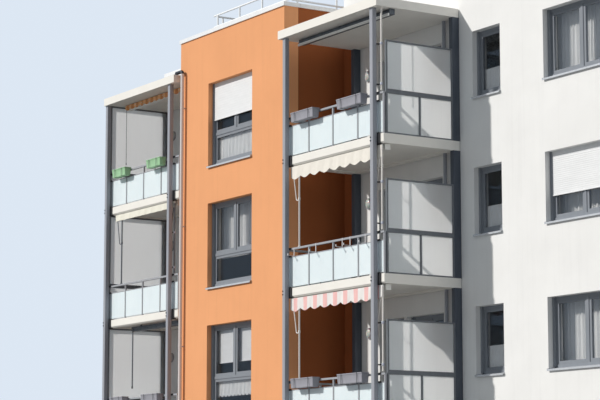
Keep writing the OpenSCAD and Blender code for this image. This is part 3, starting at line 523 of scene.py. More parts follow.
# %% Find the separate solids of a node
def solids(name):
    """The boxes of a node's separate solids, lowest first and then from left to right."""
    mesh = nodes[name].data
    places = {}
    number = [places.setdefault(tuple(round(c, 5) for c in v.co), len(places)) for v in mesh.vertices]
    leader = list(range(len(places)))

    def lead(point):
        while leader[point] != point:
            leader[point] = leader[leader[point]]
            point = leader[point]
        return point

    for face in mesh.polygons:
        first, *others = [number[v] for v in face.vertices]
        for other in others:
            leader[lead(other)] = lead(first)
    groups = {}
    for place, point in places.items():
        groups.setdefault(lead(point), []).append(place)
    boxes = [
        (Vector(map(min, *group)), Vector(map(max, *group)))
        for group in groups.values()
    ]
    return sorted(boxes, key=lambda box: (round(box[0].z, 2), round(box[0].x, 2), box[0].y))


def middle(box):
    """The middle of a box."""
    return (box[0] + box[1]) / 2


print("solids:", {name: len(solids(name)) for name in ("curtains", "planter_boxes", "awning_arms")})

# %% Helpers that work as a hand does
def deselect():
    """Clears the selection."""
    bpy.ops.object.select_all(action="DESELECT")


def take(piece):
    """Makes a piece the only selected and active one."""
    deselect()
    piece.select_set(True)
    bpy.context.view_layer.objects.active = piece


def add_box(name, low, high):
    """A box between two corners."""
    deselect()
    bpy.ops.mesh.primitive_cube_add(size=1.0, location=(Vector(low) + Vector(high)) / 2)
    piece = bpy.context.object
    piece.name = name
    piece.scale = Vector(high) - Vector(low)
    bpy.ops.object.transform_apply(location=True, rotation=True, scale=True)
    return piece


def add_disc(name, place, radius, depth, sides, turn=(0.0, 0.0, 0.0)):
    """A round or many-sided disc about a place."""
    deselect()
    bpy.ops.mesh.primitive_cylinder_add(
        vertices=sides, radius=radius, depth=depth, location=place, rotation=turn)
    piece = bpy.context.object
    piece.name = name
    bpy.ops.object.transform_apply(location=True, rotation=True, scale=True)
    return piece


print("helpers: deselect, take, add_box, add_disc")

# %% Helpers that pick, change and join
def pick(piece, kind, test):
    """Opens a piece for editing with only the chosen faces or edges selected."""
    take(piece)
    bpy.ops.object.mode_set(mode="EDIT")
    bpy.ops.mesh.select_mode(type=kind)
    bpy.ops.mesh.select_all(action="DESELECT")
    bpy.ops.object.mode_set(mode="OBJECT")
    parts = piece.data.polygons if kind == "FACE" else piece.data.edges
    for part in parts:
        part.select = test(part)
    bpy.ops.object.mode_set(mode="EDIT")


def put_down():
    """Ends the editing of a piece."""
    bpy.ops.object.mode_set(mode="OBJECT")


def modified(piece, kind, **values):
    """Adds a modifier, sets its values and applies it."""
    take(piece)
    modifier = piece.modifiers.new(kind.lower(), kind)
    for name, value in values.items():
        setattr(modifier, name, value)
    bpy.ops.object.modifier_apply(modifier=modifier.name)
    return piece


def rounded(piece, width, segments=2):
    """Rounds every sharp edge of a piece."""
    return modified(piece, "BEVEL", width=width, segments=segments, limit_method="ANGLE")


def joined(name, parts):
    """Joins pieces into one."""
    deselect()
    for part in parts:
        part.select_set(True)
    bpy.context.view_layer.objects.active = parts[0]
    if len(parts) > 1:
        bpy.ops.object.join()
    piece = bpy.context.view_layer.objects.active
    piece.name = name
    piece.data.name = name
    return piece


def repeated(name, piece, places):
    """Copies a modelled piece to each place, each copy with its own mesh, and joins them."""
    copies = []
    for place in places:
        copy = piece.copy()
        copy.data = piece.data.copy()
        copy.data.transform(place)
        scene.collection.objects.link(copy)
        copies.append(copy)
    bpy.data.objects.remove(piece)
    return joined(name, copies)


def dress(piece, material, slot, *replaced, smooth=0.0):
    """Gives a finished piece its material and its body. The slot is not used."""
    if smooth:
        take(piece)
        bpy.ops.object.shade_smooth_by_angle(angle=math.radians(smooth))
    piece.data.materials.clear()
    piece.data.materials.append(material)
    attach(piece, "root")
    if replaced:
        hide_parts(*replaced)
    print(f"{piece.name}: {len(piece.data.polygons)} faces")
    return piece


print("helpers: pick, put_down, modified, rounded, joined, repeated, dress")

# %% [markdown]
# Cloth
#
# A sheet of cloth starts as a flat grid. Its points are then moved to where the sheet hangs: waves
# from front to back make the folds, and the lower edge follows the scallops.
# A simulation would be the other way, but a valance or a net hangs still and its folds are regular,
# so a formula is quicker and always gives the same result. Last, Solidify gives the cloth its
# thickness. The length along the folds is measured: with the height it is the size of the flat cut.

# %% A hanging sheet of cloth
def hanging_cloth(name, box, fold, depth_of_fold, fold_top,
                  scallops=0, scallop_drop=0.0, step=0.02, thick=0.0015):
    """A sheet that hangs in a box. fold is the width of one fold, and fold_top the depth at the top edge."""
    low, high = box
    width, height = high.x - low.x, high.z - low.z
    columns = max(8, round(width / step))
    rows = max(4, round(height / (step * 2.5)))
    deselect()
    bpy.ops.mesh.primitive_grid_add(
        x_subdivisions=columns, y_subdivisions=rows, size=1.0, calc_uvs=True,
        location=(0.0, 0.0, 0.0), rotation=(math.pi / 2, 0.0, 0.0))
    piece = bpy.context.object
    bpy.ops.object.transform_apply(location=True, rotation=True, scale=True)
    count = width / fold
    cut = 0.0
    last = None
    for vertex in piece.data.vertices:
        across = vertex.co.x + 0.5
        down = 0.5 - vertex.co.z
        edge = scallop_drop * (1.0 - abs(math.sin(math.pi * scallops * across))) if scallops else 0.0
        swing = math.sin(2.0 * math.pi * count * across + 1.1 * math.sin(5.3 * across + low.z))
        swing += 0.25 * math.sin(4.7 * math.pi * count * across + 2.0 * down)
        depth = fold_top + (depth_of_fold - fold_top) * math.sqrt(down)
        vertex.co.x = low.x + across * width
        vertex.co.y = (low.y + high.y) / 2 + depth * swing
        vertex.co.z = high.z - down * (height - edge)
        if abs(down - 0.5) < 0.5 / rows:
            if last is not None and vertex.co.x > last.x:
                cut += math.hypot(vertex.co.x - last.x, vertex.co.y - last.y)
            last = vertex.co.copy()
    modified(piece, "SOLIDIFY", thickness=thick, offset=0.0)
    piece.name = name
    piece.data.name = name
    cut = max(cut, width)
    area = cut * (height - scallop_drop * (1.0 - 2.0 / math.pi)) if scallops else cut * height
    return piece, (cut, height), area


print("helper: hanging_cloth")

# %% A woven finish
def cloth(name, colours, stripe=None, alpha=1.0, thread=700.0, glow=0.0):
    """Woven cloth, plain or with upright stripes of a given pitch and start."""
    material, shader = start_material(name, 0.85)
    shader.inputs["Sheen Weight"].default_value = 0.25
    shader.inputs["Alpha"].default_value = alpha
    if glow:
        shader.inputs["Subsurface Weight"].default_value = glow
        shader.inputs["Subsurface Radius"].default_value = (1.0, 1.0, 1.0)
        shader.inputs["Subsurface Scale"].default_value = 0.004
    fade = clouds(material, 5.0, 4.0, 0.6)
    body = ramp(material, fade, [(0.3, shade(colours[0], 0.94)), (0.75, colours[0])])
    if stripe:
        pitch, start, share = stripe
        band = calculate(material, "LESS_THAN", sawtooth(material, 0, pitch, start), share)
        body = mixed(material, band, body, colours[1])
    colour_from(material, shader, body)
    weft = clouds(material, thread, 2.0, 0.5, (1.0, 1.0, 0.25))
    bumped(material, shader, weft, 0.0005)
    return material


print("helper: cloth")

# %% [markdown]
# Window linings
#
# Each wall of the bay is one orange piece, so its orange reveals would show through the panes. A real
# window has a pale lining on the inside. Four thin strips line each opening behind its frame: one on
# each side, one on the sill and one under the lintel. They are boxes with a fine bevel.

# %% Line the bay's windows on the inside
lining_paint = plaster("lining_paint", (0.62, 0.61, 0.59))
lining_thickness = 0.004
linings = []
for low, high in solids("bay_window_frames"):
    for x in (low.x, high.x - lining_thickness):
        corners = (x, high.y, low.z), (x + lining_thickness, bay_high.y, high.z)
        linings.append(add_box("lining", *corners))
    for z in (low.z, high.z - lining_thickness):
        left, right = low.x + lining_thickness, high.x - lining_thickness
        linings.append(add_box("lining", (left, high.y, z), (right, bay_high.y, z + lining_thickness)))
dress(rounded(joined("window_linings", linings), 0.0008, 1), lining_paint, "orange_plaster")

# %% [markdown]
# Net curtains
#
# Behind the windows hang nets. The long ones run from the ceiling and fall in deep even folds, and
# the short ones are strung on the sashes, with shallow gathers. The same cloth helper makes both:
# the folds are as wide as a hand on the long ones and half as wide on the short ones. In the bay a
# long net ends above the lower panes, and the lower of the two short ones has a scalloped lace edge.

# %% Find a storey and the top of its lower panes
storey_height = round(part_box("second_floor")[1].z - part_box("first_floor")[1].z, 3)
ground_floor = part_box("ground_slab")[1].z
transom_height, net_margin = 0.04, Vector((0.3, 0.3, 0.3))


def storey_of(height):
    """The number of the storey at a height, from 0 at the ground."""
    return int((height - ground_floor) / storey_height + 0.01)


def transom_over(box):
    """The top of the lower panes in the bay window that a net hangs behind."""
    low, high = box[0] - net_margin, box[1] + net_margin
    panes = [p for p in solids("window_glass") if p[0].y < box[0].y and p[0].x > low.x
             and p[1].x < high.x and p[0].z > low.z and p[1].z < high.z]
    return min(pane[1].z for pane in panes) + transom_height


# %% Hang the curtains
net = cloth("net_curtain", [(0.97, 0.98, 0.98)], alpha=0.96, thread=1200.0, glow=0.2)
short_net_height, long_fold, short_fold, lace_drop = 0.8, 0.105, 0.052, 0.035
for number, box in enumerate(solids("curtains")):
    long_net = box[1].z - box[0].z > short_net_height
    in_bay = box[1].x < bay_high.x
    if long_net and in_bay:
        box = Vector((box[0].x, box[0].y, transom_over(box))), box[1]
    room = (box[1].y - box[0].y) / 2
    lace = not long_net and in_bay and box[1].z < ground_floor + 2 * storey_height
    fold = long_fold if long_net else short_fold
    piece, flat, area = hanging_cloth(
        f"curtain_{number + 1}", box, fold, room * 0.78, room * 0.55,
        12 if lace else 0, lace_drop if lace else 0.0, fold / 8, 0.0008)
    replaced = ["curtains"] if number == 0 else []
    dress(piece, net, "curtain", *replaced, smooth=60)
    print(f"  flat cut {flat[0]:.2f} x {flat[1]:.2f} m")

# %% [markdown]
# Blinds
#
# A blind is a stack of slats. One slat is modelled: a strip whose section is a shallow arch, made
# from a grid that is bent and given a thickness. The Array modifier repeats it down to the bottom
# rail. The bay's top blind has wide slats, and the other two have narrow ones. In the bay the slats
# are nearly flat, and on the white wing they have a deeper arch.

# %% Stack the slats
def slat_blind(box, pitch, arch):
    """A blind in a box: slats from the top down, then a bottom rail."""
    low, high = box
    rail = 0.028
    upright = (math.pi / 2, 0.0, 0.0)
    count = round((high.z - low.z - rail) / pitch)
    pitch = (high.z - low.z - rail) / count
    deselect()
    bpy.ops.mesh.primitive_grid_add(x_subdivisions=1, y_subdivisions=6, size=1.0, rotation=upright)
    slat = bpy.context.object
    bpy.ops.object.transform_apply(location=True, rotation=True, scale=True)
    front = low.y + 0.006
    for vertex in slat.data.vertices:
        down = 0.5 - vertex.co.z
        vertex.co.x = low.x + (vertex.co.x + 0.5) * (high.x - low.x)
        vertex.co.z = high.z - down * pitch * 1.04
        vertex.co.y = front + arch * (2.0 * down - 1.0) ** 2 + 0.003 * down
    modified(slat, "SOLIDIFY", thickness=0.0012, offset=0.0)
    modified(slat, "ARRAY", count=count, use_relative_offset=False, use_constant_offset=True,
             constant_offset_displace=(0.0, 0.0, -pitch))
    bar = rounded(add_box("bar", low, (high.x, low.y + 0.018, low.z + rail)), 0.004)
    return joined("blind", [slat, bar])


print("helper: slat_blind")

# %% Paint and hang the blinds
slat_white, slat_shader = start_material("slat_paint", 0.45)
slat_dust = clouds(slat_white, 3.0, 4.0, 0.6, (1.0, 1.0, 3.0))
slat_tones = [(0.3, (0.80, 0.81, 0.82)), (0.75, (0.86, 0.87, 0.88))]
colour_from(slat_white, slat_shader, ramp(slat_white, slat_dust, slat_tones))
bumped(slat_white, slat_shader, clouds(slat_white, 40.0, 2.0), 0.0003)
wide_slat, narrow_slat = 0.055, 0.040
blinds = []
for box in solids("roller_blinds"):
    in_bay = box[1].x < bay_high.x
    upper = box[0].z > ground_floor + 3 * storey_height
    pitch = wide_slat if in_bay and upper else narrow_slat
    blinds.append(slat_blind(box, pitch, 0.0015 if in_bay else 0.003))
dress(joined("blind_slats", blinds), slat_white, "blind", "roller_blinds", smooth=35)

# %% [markdown]
# Bars, strips and round rods
#
# Fittings are made of three simple shapes: a plate cut from a box, a flat strip bent over
# something, and a round rod with bends. The rod starts as one point that is extruded along its
# path, becomes a curve, is given a radius and turns back into a mesh, as one would do by hand.

# %% Helpers for rods and strips
def round_rod(name, path, radius, sides=3):
    """A round rod along a path."""
    deselect()
    bpy.ops.mesh.primitive_plane_add(size=0.01, location=path[0])
    piece = bpy.context.object
    bpy.ops.object.transform_apply(location=True, rotation=True, scale=True)
    bpy.ops.object.mode_set(mode="EDIT")
    bpy.ops.mesh.select_mode(type="VERT")
    bpy.ops.mesh.select_all(action="SELECT")
    bpy.ops.mesh.merge(type="CENTER")
    for start, end in zip(path, path[1:]):
        bpy.ops.mesh.extrude_region_move(TRANSFORM_OT_translate={"value": tuple(Vector(end) - Vector(start))})
    put_down()
    bpy.ops.object.convert(target="CURVE")
    piece = bpy.context.object
    piece.data.bevel_depth = radius
    piece.data.bevel_resolution = sides
    piece.data.use_fill_caps = True
    bpy.ops.object.convert(target="MESH")
    piece = bpy.context.object
    piece.name = name
    return piece


def bend(centre, radius, start, end, steps=6):
    """Points on an arc in the plane of X and Z, with angles from +X in degrees."""
    angles = [math.radians(start + (end - start) * k / steps) for k in range(steps + 1)]
    return [Vector(centre) + Vector((radius * math.cos(a), 0.0, radius * math.sin(a))) for a in angles]


def plate(name, low, high, edge=0.0015):
    """A flat bar with its edges taken off."""
    return rounded(add_box(name, low, high), edge, 1)


def bolt(radius=0.012):
    """A hex bolt with its washer, which looks along -Y, with the washer's back at the origin."""
    along = (math.pi / 2, 0.0, 0.0)
    washer = rounded(add_disc("washer", (0.0, -0.0015, 0.0), radius * 1.4, 0.003, 20, along), 0.0008, 1)
    head = add_disc("head", (0.0, -0.003 - radius * 0.4, 0.0), radius, radius * 0.8, 6, along)
    return joined("bolt", [washer, rounded(head, radius * 0.12, 2)])


print("helpers: round_rod, bend, plate, bolt")

# %% [markdown]
# Planters
#
# A planter is a moulded plastic trough: its sides lean out a little, a rim runs round the top, the
# front has a shallow panel, and two steel hooks with straps hold it on the handrail. It begins as a
# box. The floor face is scaled down to make the sides lean, the front face is inset and pushed in,
# and the rim is a second box whose top is inset and pushed down. The earth is a grid whose points
# are lifted by a noise, and it lies just below the trough's closed top.

# %% Plastic and steel for the planters
steel_hooks = flake_paint("hook_steel", (0.08, 0.085, 0.09), 0.2, 0.45, 0.02)


def plastic(name, colour):
    """Moulded plastic, bleached in clouds and marked by water that ran down."""
    material, shader = start_material(name, 0.55)
    sunned = clouds(material, 6.0, 4.0, 0.6)
    body = ramp(material, sunned, [(0.3, shade(colour, 0.90)), (0.75, shade(colour, 1.08))])
    runs = clouds(material, 1.0, 4.0, 0.6, (30.0, 30.0, 2.0))
    marks = ramp(material, runs, [(0.55, (1.0, 1.0, 1.0)), (0.8, (0.84, 0.83, 0.80))])
    colour_from(material, shader, mixed(material, 0.6, body, marks, "MULTIPLY"))
    bumped(material, shader, clouds(material, 320.0, 2.0), 0.0004)
    return material


print("finishes: hook_steel and plastic")

# %% Mould one planter
planter_depth, planter_height, planter_skin, earth_drop = 0.18, 0.20, 0.012, 0.03
floor_share, floor_length_share, floor_inset = 0.78, 0.985, 0.004
rim_proud, rim_high, rim_hollow = 0.004, 0.022, 0.020
panel_border, panel_sunk = 0.028, 0.004


def planter(box):
    """A trough whose sides lean, with a panel pressed into its front and a rim."""
    low, high = box
    top = low.z + planter_height
    body = add_box("trough", low, (high.x, low.y + planter_depth, top))
    pick(body, "FACE", lambda face: face.normal.z < -0.9)
    about = tuple(body.data.polygons[0].center)
    bpy.ops.transform.resize(value=(floor_length_share, floor_share, 1.0), center_override=about)
    put_down()
    middle_y = low.y + planter_depth / 2
    for vertex in body.data.vertices:
        if vertex.co.z < low.z + 0.001:
            half_floor = planter_depth * floor_share / 2
            vertex.co.y = middle_y + math.copysign(half_floor, vertex.co.y - middle_y)
            vertex.co.x = min(max(vertex.co.x, low.x + floor_inset), high.x - floor_inset)
    pick(body, "FACE", lambda face: face.normal.y < -0.9)
    bpy.ops.mesh.inset(thickness=panel_border)
    bpy.ops.mesh.inset(thickness=0.004, depth=-panel_sunk)
    put_down()
    body = rounded(body, 0.004, 2)
    rim_back = low.y + planter_depth + 0.002
    rim_start = low.x - rim_proud, low.y - rim_proud, top - rim_high
    rim = add_box("rim", rim_start, (high.x + rim_proud, rim_back, top))
    pick(rim, "FACE", lambda face: face.normal.z > 0.9)
    bpy.ops.mesh.inset(thickness=planter_skin + 0.004)
    bpy.ops.mesh.extrude_region_move(TRANSFORM_OT_translate={"value": (0.0, 0.0, -rim_hollow)})
    put_down()
    rim = rounded(rim, 0.003, 2)
    return joined("planter", [body, rim])


print("helper: planter")

# %% Hooks, straps and earth
hook_wide, strap_wide, flat_steel, strap_steel = 0.025, 0.016, 0.005, 0.004
hook_inset, hook_back_length, hook_tip_length = 0.15, 0.045, 0.035


def hooks(box):
    """Two hooks over the handrail, each with a strap that runs round the trough."""
    low, high = box
    back, over, top = low.y + planter_depth - 0.004, high.y, high.z
    front, under, strap_top = low.y - 0.010, low.z - 0.008, low.z + planter_height
    parts = []
    for x in (low.x + hook_inset, high.x - hook_inset - hook_wide):
        hook_end, strap_end = x + hook_wide, x + strap_wide
        hook_lengths = (
            ((x, back, top - hook_back_length), (hook_end, back + flat_steel, top)),
            ((x, back, top - flat_steel), (hook_end, over, top)),
            ((x, over - flat_steel, top - hook_tip_length), (hook_end, over, top)),
        )
        strap_lengths = (
            ((x, front, under), (strap_end, front + strap_steel, strap_top)),
            ((x, front, under), (strap_end, back + flat_steel, under + flat_steel)),
            ((x, back, under), (strap_end, back + flat_steel, top - hook_back_length)),
        )
        parts.extend(plate("hook", *corners) for corners in hook_lengths)
        parts.extend(plate("strap", *corners, 0.001) for corners in strap_lengths)
    return joined("hooks", parts)


def earth(box):
    """The lumpy top of the earth in a trough."""
    low, high = box
    deselect()
    bpy.ops.mesh.primitive_grid_add(x_subdivisions=40, y_subdivisions=9, size=1.0)
    piece = bpy.context.object
    bpy.ops.object.transform_apply(location=True, rotation=True, scale=True)
    for vertex in piece.data.vertices:
        across, deep = vertex.co.x + 0.5, vertex.co.y + 0.5
        vertex.co.x = low.x + planter_skin + across * (high.x - low.x - 2 * planter_skin)
        vertex.co.y = low.y + planter_skin + deep * (planter_depth - 2 * planter_skin)
        lump = perlin.noise(Vector((vertex.co.x * 14, vertex.co.y * 14, low.z)))
        vertex.co.z = low.z + planter_height - earth_drop + 0.012 + lump * 0.008
    return piece


print("helpers: hooks, earth")

# %% Set the planters on the rails
planter_boxes = solids("planter_boxes")
green_ones = [b for b in planter_boxes if middle(b).x < bay_low.x and storey_of(b[0].z) == 3]
grey_ones = [b for b in planter_boxes if b not in green_ones]
grey_plastic = plastic("grey_plastic", (0.31, 0.31, 0.35))
green_plastic = plastic("green_plastic", (0.33, 0.58, 0.33))
grey_troughs = joined("planters", [planter(b) for b in grey_ones])
dress(grey_troughs, grey_plastic, "planter", "planter_boxes", smooth=35)
dress(joined("green_planters", [planter(b) for b in green_ones]), green_plastic, "planter", smooth=35)
dress(joined("planter_hooks", [hooks(b) for b in planter_boxes]), steel_hooks, "planter", smooth=35)
soil, soil_shader = start_material("soil", 0.95)
crumbs = clouds(soil, 90.0, 5.0, 0.7)
soil_tones = [(0.3, (0.030, 0.020, 0.014)), (0.7, (0.085, 0.060, 0.042))]
colour_from(soil, soil_shader, ramp(soil, crumbs, soil_tones))
bumped(soil, soil_shader, crumbs, 0.006)
dress(joined("planter_earth", [earth(b) for b in planter_boxes]), soil, "planter", smooth=60)

# %% [markdown]
# Wall lamps
#
# Each balcony has one round lamp on its wall: a painted metal ring with a domed cover of opal
# glass. The ring is a disc with a bevelled edge and a hollow front. The cover is a sphere, pressed
# flat, whose back half is cut away.

# %% Finishes for the lamps
lamp_ring_paint = flake_paint("lamp_ring_paint", (0.30, 0.31, 0.33), 0.3, 0.45, 0.04)
opal, opal_shader = start_material("opal_cover", 0.25)
opal_shader.inputs["Subsurface Weight"].default_value = 0.6
opal_shader.inputs["Subsurface Scale"].default_value = 0.01
opal_tones = [(0.3, (0.50, 0.50, 0.49)), (0.8, (0.60, 0.60, 0.58))]
colour_from(opal, opal_shader, ramp(opal, clouds(opal, 9.0, 4.0, 0.6), opal_tones))
bumped(opal, opal_shader, clouds(opal, 60.0, 2.0), 0.0003)
print("finishes: lamp_ring_paint, opal_cover")

# %% Fit the wall lamps
ring_depth, ring_border, cover_seat = 0.034, 0.020, 0.008
facing_street = (math.pi / 2, 0.0, 0.0)
rings, covers = [], []
for box in solids("wall_lamps"):
    low, high = box
    centre = middle(box)
    radius = (high.x - low.x) / 2
    ring_place = centre.x, high.y - ring_depth / 2, centre.z
    ring = add_disc("ring", ring_place, radius, ring_depth, 40, facing_street)
    pick(ring, "FACE", lambda face: face.normal.y < -0.9)
    bpy.ops.mesh.inset(thickness=0.018)
    bpy.ops.mesh.extrude_region_move(TRANSFORM_OT_translate={"value": (0.0, cover_seat, 0.0)})
    put_down()
    rings.append(rounded(ring, 0.004, 2))
    deselect()
    bpy.ops.mesh.primitive_uv_sphere_add(segments=32, ring_count=16, radius=radius - ring_border,
                                         location=(0.0, 0.0, 0.0), rotation=facing_street)
    cover = bpy.context.object
    bpy.ops.object.transform_apply(location=True, rotation=True, scale=True)
    pick(cover, "FACE", lambda face: face.center.y > 0.0)
    bpy.ops.mesh.delete(type="FACE")
    bpy.ops.mesh.select_all(action="SELECT")
    cover_back = high.y - ring_depth + cover_seat
    flatness = (cover_back - low.y) / (radius - ring_border)
    bpy.ops.transform.resize(value=(1.0, flatness, 1.0), center_override=(0.0, 0.0, 0.0))
    bpy.ops.mesh.select_all(action="DESELECT")
    bpy.ops.mesh.select_mode(type="EDGE")
    bpy.ops.mesh.select_non_manifold()
    bpy.ops.mesh.fill()
    put_down()
    cover.data.transform(Matrix.Translation((centre.x, cover_back, centre.z)))
    covers.append(cover)
dress(joined("lamp_rings", rings), lamp_ring_paint, "lamp", "wall_lamps", smooth=35)
dress(joined("lamp_covers", covers), opal, "lamp", smooth=50)

# %% [markdown]
# Masts and brackets
#
# Four steel masts carry the balconies. Each has the outside of a hollow section with round corners,
# from a base plate on the ground up to the tower's roof. At every slab a black steel bracket grips
# the slab between mast and edge: a plate behind the mast, a foot under the slab, and two hex bolts
# through the mast's front, one above the other. The short posts at the wall carry the slabs' other
# side.

# %% Sizes and helpers for the masts
slab_thickness = 0.195
mast_wide, mast_deep, mast_gap = 0.110, 0.100, 0.020
bracket_side, bracket_high = 0.090, 0.225
screen_inset = 0.085
# How far the first and the last mast of a tower stand from the ends of its slabs.
mast_insets = {"left": (0.015, 0.258), "right": (0.122, 0.200)}
bracket_black = flake_paint("bracket_black", (0.045, 0.045, 0.048), 0.0, 0.45, 0.02)


def masts_of(side):
    """The left edges of a tower's two front masts."""
    slab_low, slab_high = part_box(f"{side}_balcony_slabs")
    first, last = mast_insets[side]
    return slab_low.x + first, slab_high.x - last - mast_wide


def hollow_section(low, high):
    """An upright post whose four long edges are rounded."""
    post = add_box("post", low, high)
    spots = post.data.vertices
    pick(post, "EDGE", lambda edge: abs(spots[edge.vertices[0]].co.z - spots[edge.vertices[1]].co.z) > 0.1)
    bpy.ops.mesh.bevel(offset=0.009, segments=3, affect="EDGES")
    put_down()
    return post


def wall_post(side, low, high):
    """A post at the wall. Those beside the left screens are cut back to the screen."""
    tower_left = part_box(f"{side}_balcony_slabs")[0].x
    at_screen = side == "left" and low.x < tower_left + mast_gap
    return hollow_section(low, (low.x + screen_inset, high.y, high.z) if at_screen else high)


print("helpers: masts_of, hollow_section, wall_post")

# %% Raise the masts with their brackets and bolts
base_margin, base_thick, foot_reach = 0.03, 0.018, 0.05
bolt_inset, bolt_lift = 0.024, 0.035
posts, wall_posts, plates, bolt_places, foot_places = [], [], [], [], []
for side in ("left", "right"):
    slab_low, slab_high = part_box(f"{side}_balcony_slabs")
    back = slab_low.y - mast_gap
    for left in masts_of(side):
        right = left + mast_wide
        front = back - mast_deep
        posts.append(hollow_section((left, front, 0.0), (right, back, roof_low.z)))
        base_start = left - base_margin, front - base_margin, 0.0
        base_end = right + base_margin, back + 0.015, base_thick
        plates.append(plate("base", base_start, base_end, 0.003))
        for storey in range(4):
            level = ground_floor + storey * storey_height
            centre, under = level - slab_thickness / 2, level - slab_thickness
            plate_left = max(left - bracket_side, slab_low.x)
            plate_right = min(right + bracket_side, slab_high.x)
            low_z, high_z = centre - bracket_high / 2, centre + bracket_high / 2
            plates.append(plate("grip", (plate_left, back, low_z), (plate_right, slab_low.y, high_z), 0.002))
            foot_back = slab_low.y + foot_reach
            plates.append(plate("foot", (plate_left, back, low_z), (plate_right, foot_back, under), 0.002))
            for lift in (-bolt_lift, bolt_lift):
                bolt_places.append(Matrix.Translation((left + bolt_inset, front, centre + lift)))
            for x in (plate_right - 0.03, right + 0.02):
                foot_places.append(Matrix.Translation((x, back, under + 0.03)))
    for low, high in solids(f"{side}_tower_masts"):
        if low.y > slab_low.y:
            wall_posts.append(wall_post(side, low, high))
steel_masts = joined("steel_masts", posts)
dress(steel_masts, mast_paint, "mast_metal", "left_tower_masts", "right_tower_masts", smooth=30)
# The wall posts get a near-black paint, much darker than the masts: painted shade, as they stand deep in the
# balconies.
wall_post_painted_shade = flake_paint("wall_post_painted_shade", (0.085, 0.10, 0.125), 0.1, 0.45, 0.03)
dress(joined("wall_posts", wall_posts), wall_post_painted_shade, "mast_metal", smooth=30)
dress(joined("slab_brackets", plates), bracket_black, "mast_metal", smooth=30)
black_bolts = joined("mast_bolts", [
    repeated("through_bolts", bolt(0.013), bolt_places), repeated("foot_bolts", bolt(0.007), foot_places)])
dress(black_bolts, dark_steel, "mast_metal", smooth=30)

# %% [markdown]
# Awnings
#
# Under each slab hangs a drop-arm awning: a case with the rolled canvas, held by two lugs, and a
# front bar with a valance. Most are closed, with the bar near the case and a straight crank rod on
# an eye. Three are open by a hand: their bars stand at the slab's edge on two round arms, which are
# pinned to the handrail. From each end of the bar a strut runs down and turns into the arm in a
# smooth bend. A thick tube hangs beside the mast on each balcony of the right tower, and at the open
# awning of the left one.

# %% Plan the awnings
# left, right and rod run from the tower's left end, behind from the slab's front, and below from the
# ceiling. drop is the height of the valance.
Awning = namedtuple("Awning", "side storey left right behind below is_open is_pale rod drop scallops look")
awnings = [
    Awning("right", 3, 0.255, 3.632, 0.200, 0.100, False, False, 3.375, 0.0, 0, "none"),
    Awning("right", 2, 0.255, 3.632, 0.030, 0.025, True, True, 3.612, 0.286, 9, "cream"),
    Awning("right", 1, 0.255, 3.632, 0.030, 0.025, True, True, 3.612, 0.286, 9, "red stripes"),
    Awning("right", 0, 0.255, 3.632, 0.200, 0.100, False, False, 3.375, 0.0, 0, "none"),
    Awning("left", 3, 0.373, 3.358, 0.270, 0.010, False, True, 0.393, 0.135, 12, "orange"),
    Awning("left", 2, 0.373, 3.358, 0.030, 0.025, True, True, 3.338, 0.155, 0, "plain cream"),
    Awning("left", 1, 0.820, 3.548, 0.270, 0.010, False, False, 0.853, 0.0, 0, "none"),
    Awning("left", 0, 0.820, 3.548, 0.270, 0.010, False, False, 0.853, 0.0, 0, "none"),
]
bar_deep, bar_high = 0.036, 0.050
case_deep, case_high, case_behind, case_below = 0.130, 0.110, 0.090, 0.010
slab_hollow, handrail_height = 0.035, 0.850
case_round, lug_half, lug_behind = 0.026, 0.018, 0.065
arm_inset, arm_radius = 0.305, 0.018


def ceiling_over(storey):
    """The underside of the slab or roof over a balcony."""
    return roof_low.z if storey == 3 else ground_floor + (storey + 1) * storey_height - slab_thickness


def ends_of(plan):
    """The left and right end, the middle of the bar from front to back, and its top."""
    slab_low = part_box(f"{plan.side}_balcony_slabs")[0]
    return (slab_low.x + plan.left, slab_low.x + plan.right, slab_low.y + plan.behind,
            ceiling_over(plan.storey) - plan.below)


print(f"awnings: {len(awnings)}, open: {sum(plan.is_open for plan in awnings)}")

# %% Model one case and one bar
def awning_case(plan):
    """A case with a rounded front, a lip, two end plates and two lugs."""
    left, right, bar_y, bar_top = ends_of(plan)
    front = bar_y - plan.behind + max(plan.behind + bar_deep / 2, case_behind)
    top = ceiling_over(plan.storey) - case_below
    body = add_box("case", (left, front, top - case_high), (right, front + case_deep, top))
    spots = body.data.vertices
    pick(body, "EDGE", lambda edge: all(abs(spots[v].co.y - front) < 0.001 for v in edge.vertices)
         and abs(spots[edge.vertices[0]].co.x - spots[edge.vertices[1]].co.x) > 1.0)
    bpy.ops.mesh.bevel(offset=case_round, segments=5, affect="EDGES")
    put_down()
    low = top - case_high
    lip = (left, front - 0.002, low + 0.030), (right, front + 0.003, low + 0.036)
    parts = [body, plate("lip", *lip, 0.001)]
    for x in (left - 0.003, right - 0.003):
        end = (x, front - 0.002, low - 0.002), (x + 0.006, front + case_deep, top + 0.002)
        parts.append(plate("end", *end))
    reach = slab_hollow if not plan.is_open and plan.storey < 3 else 0.0
    lug_top = top + case_below + reach
    for x in (left + arm_inset, right - arm_inset):
        lug_start = x - lug_half, front + lug_behind - lug_half, top
        lug_end = x + lug_half, front + lug_behind + lug_half, lug_top
        parts.append(plate("lug", lug_start, lug_end))
    return joined("case", parts)


def front_bar(plan):
    """A bar with round edges, a groove along its front and an end cap on each end."""
    left, right, bar_y, bar_top = ends_of(plan)
    low_y, high_y = bar_y - bar_deep / 2, bar_y + bar_deep / 2
    bar = add_box("bar", (left + 0.004, low_y, bar_top - bar_high), (right - 0.004, high_y, bar_top))
    pick(bar, "FACE", lambda face: face.normal.y < -0.9)
    bpy.ops.mesh.inset(thickness=0.018)
    bpy.ops.mesh.inset(thickness=0.002, depth=-0.006)
    put_down()
    parts = [rounded(bar, 0.003, 2)]
    for x in (left, right - 0.006):
        cap = (x, low_y - 0.0015, bar_top - bar_high - 0.0015), (x + 0.006, high_y + 0.0015, bar_top + 0.0015)
        parts.append(plate("cap", *cap, 0.0025))
    return joined("bar", parts)


print("helpers: awning_case, front_bar")

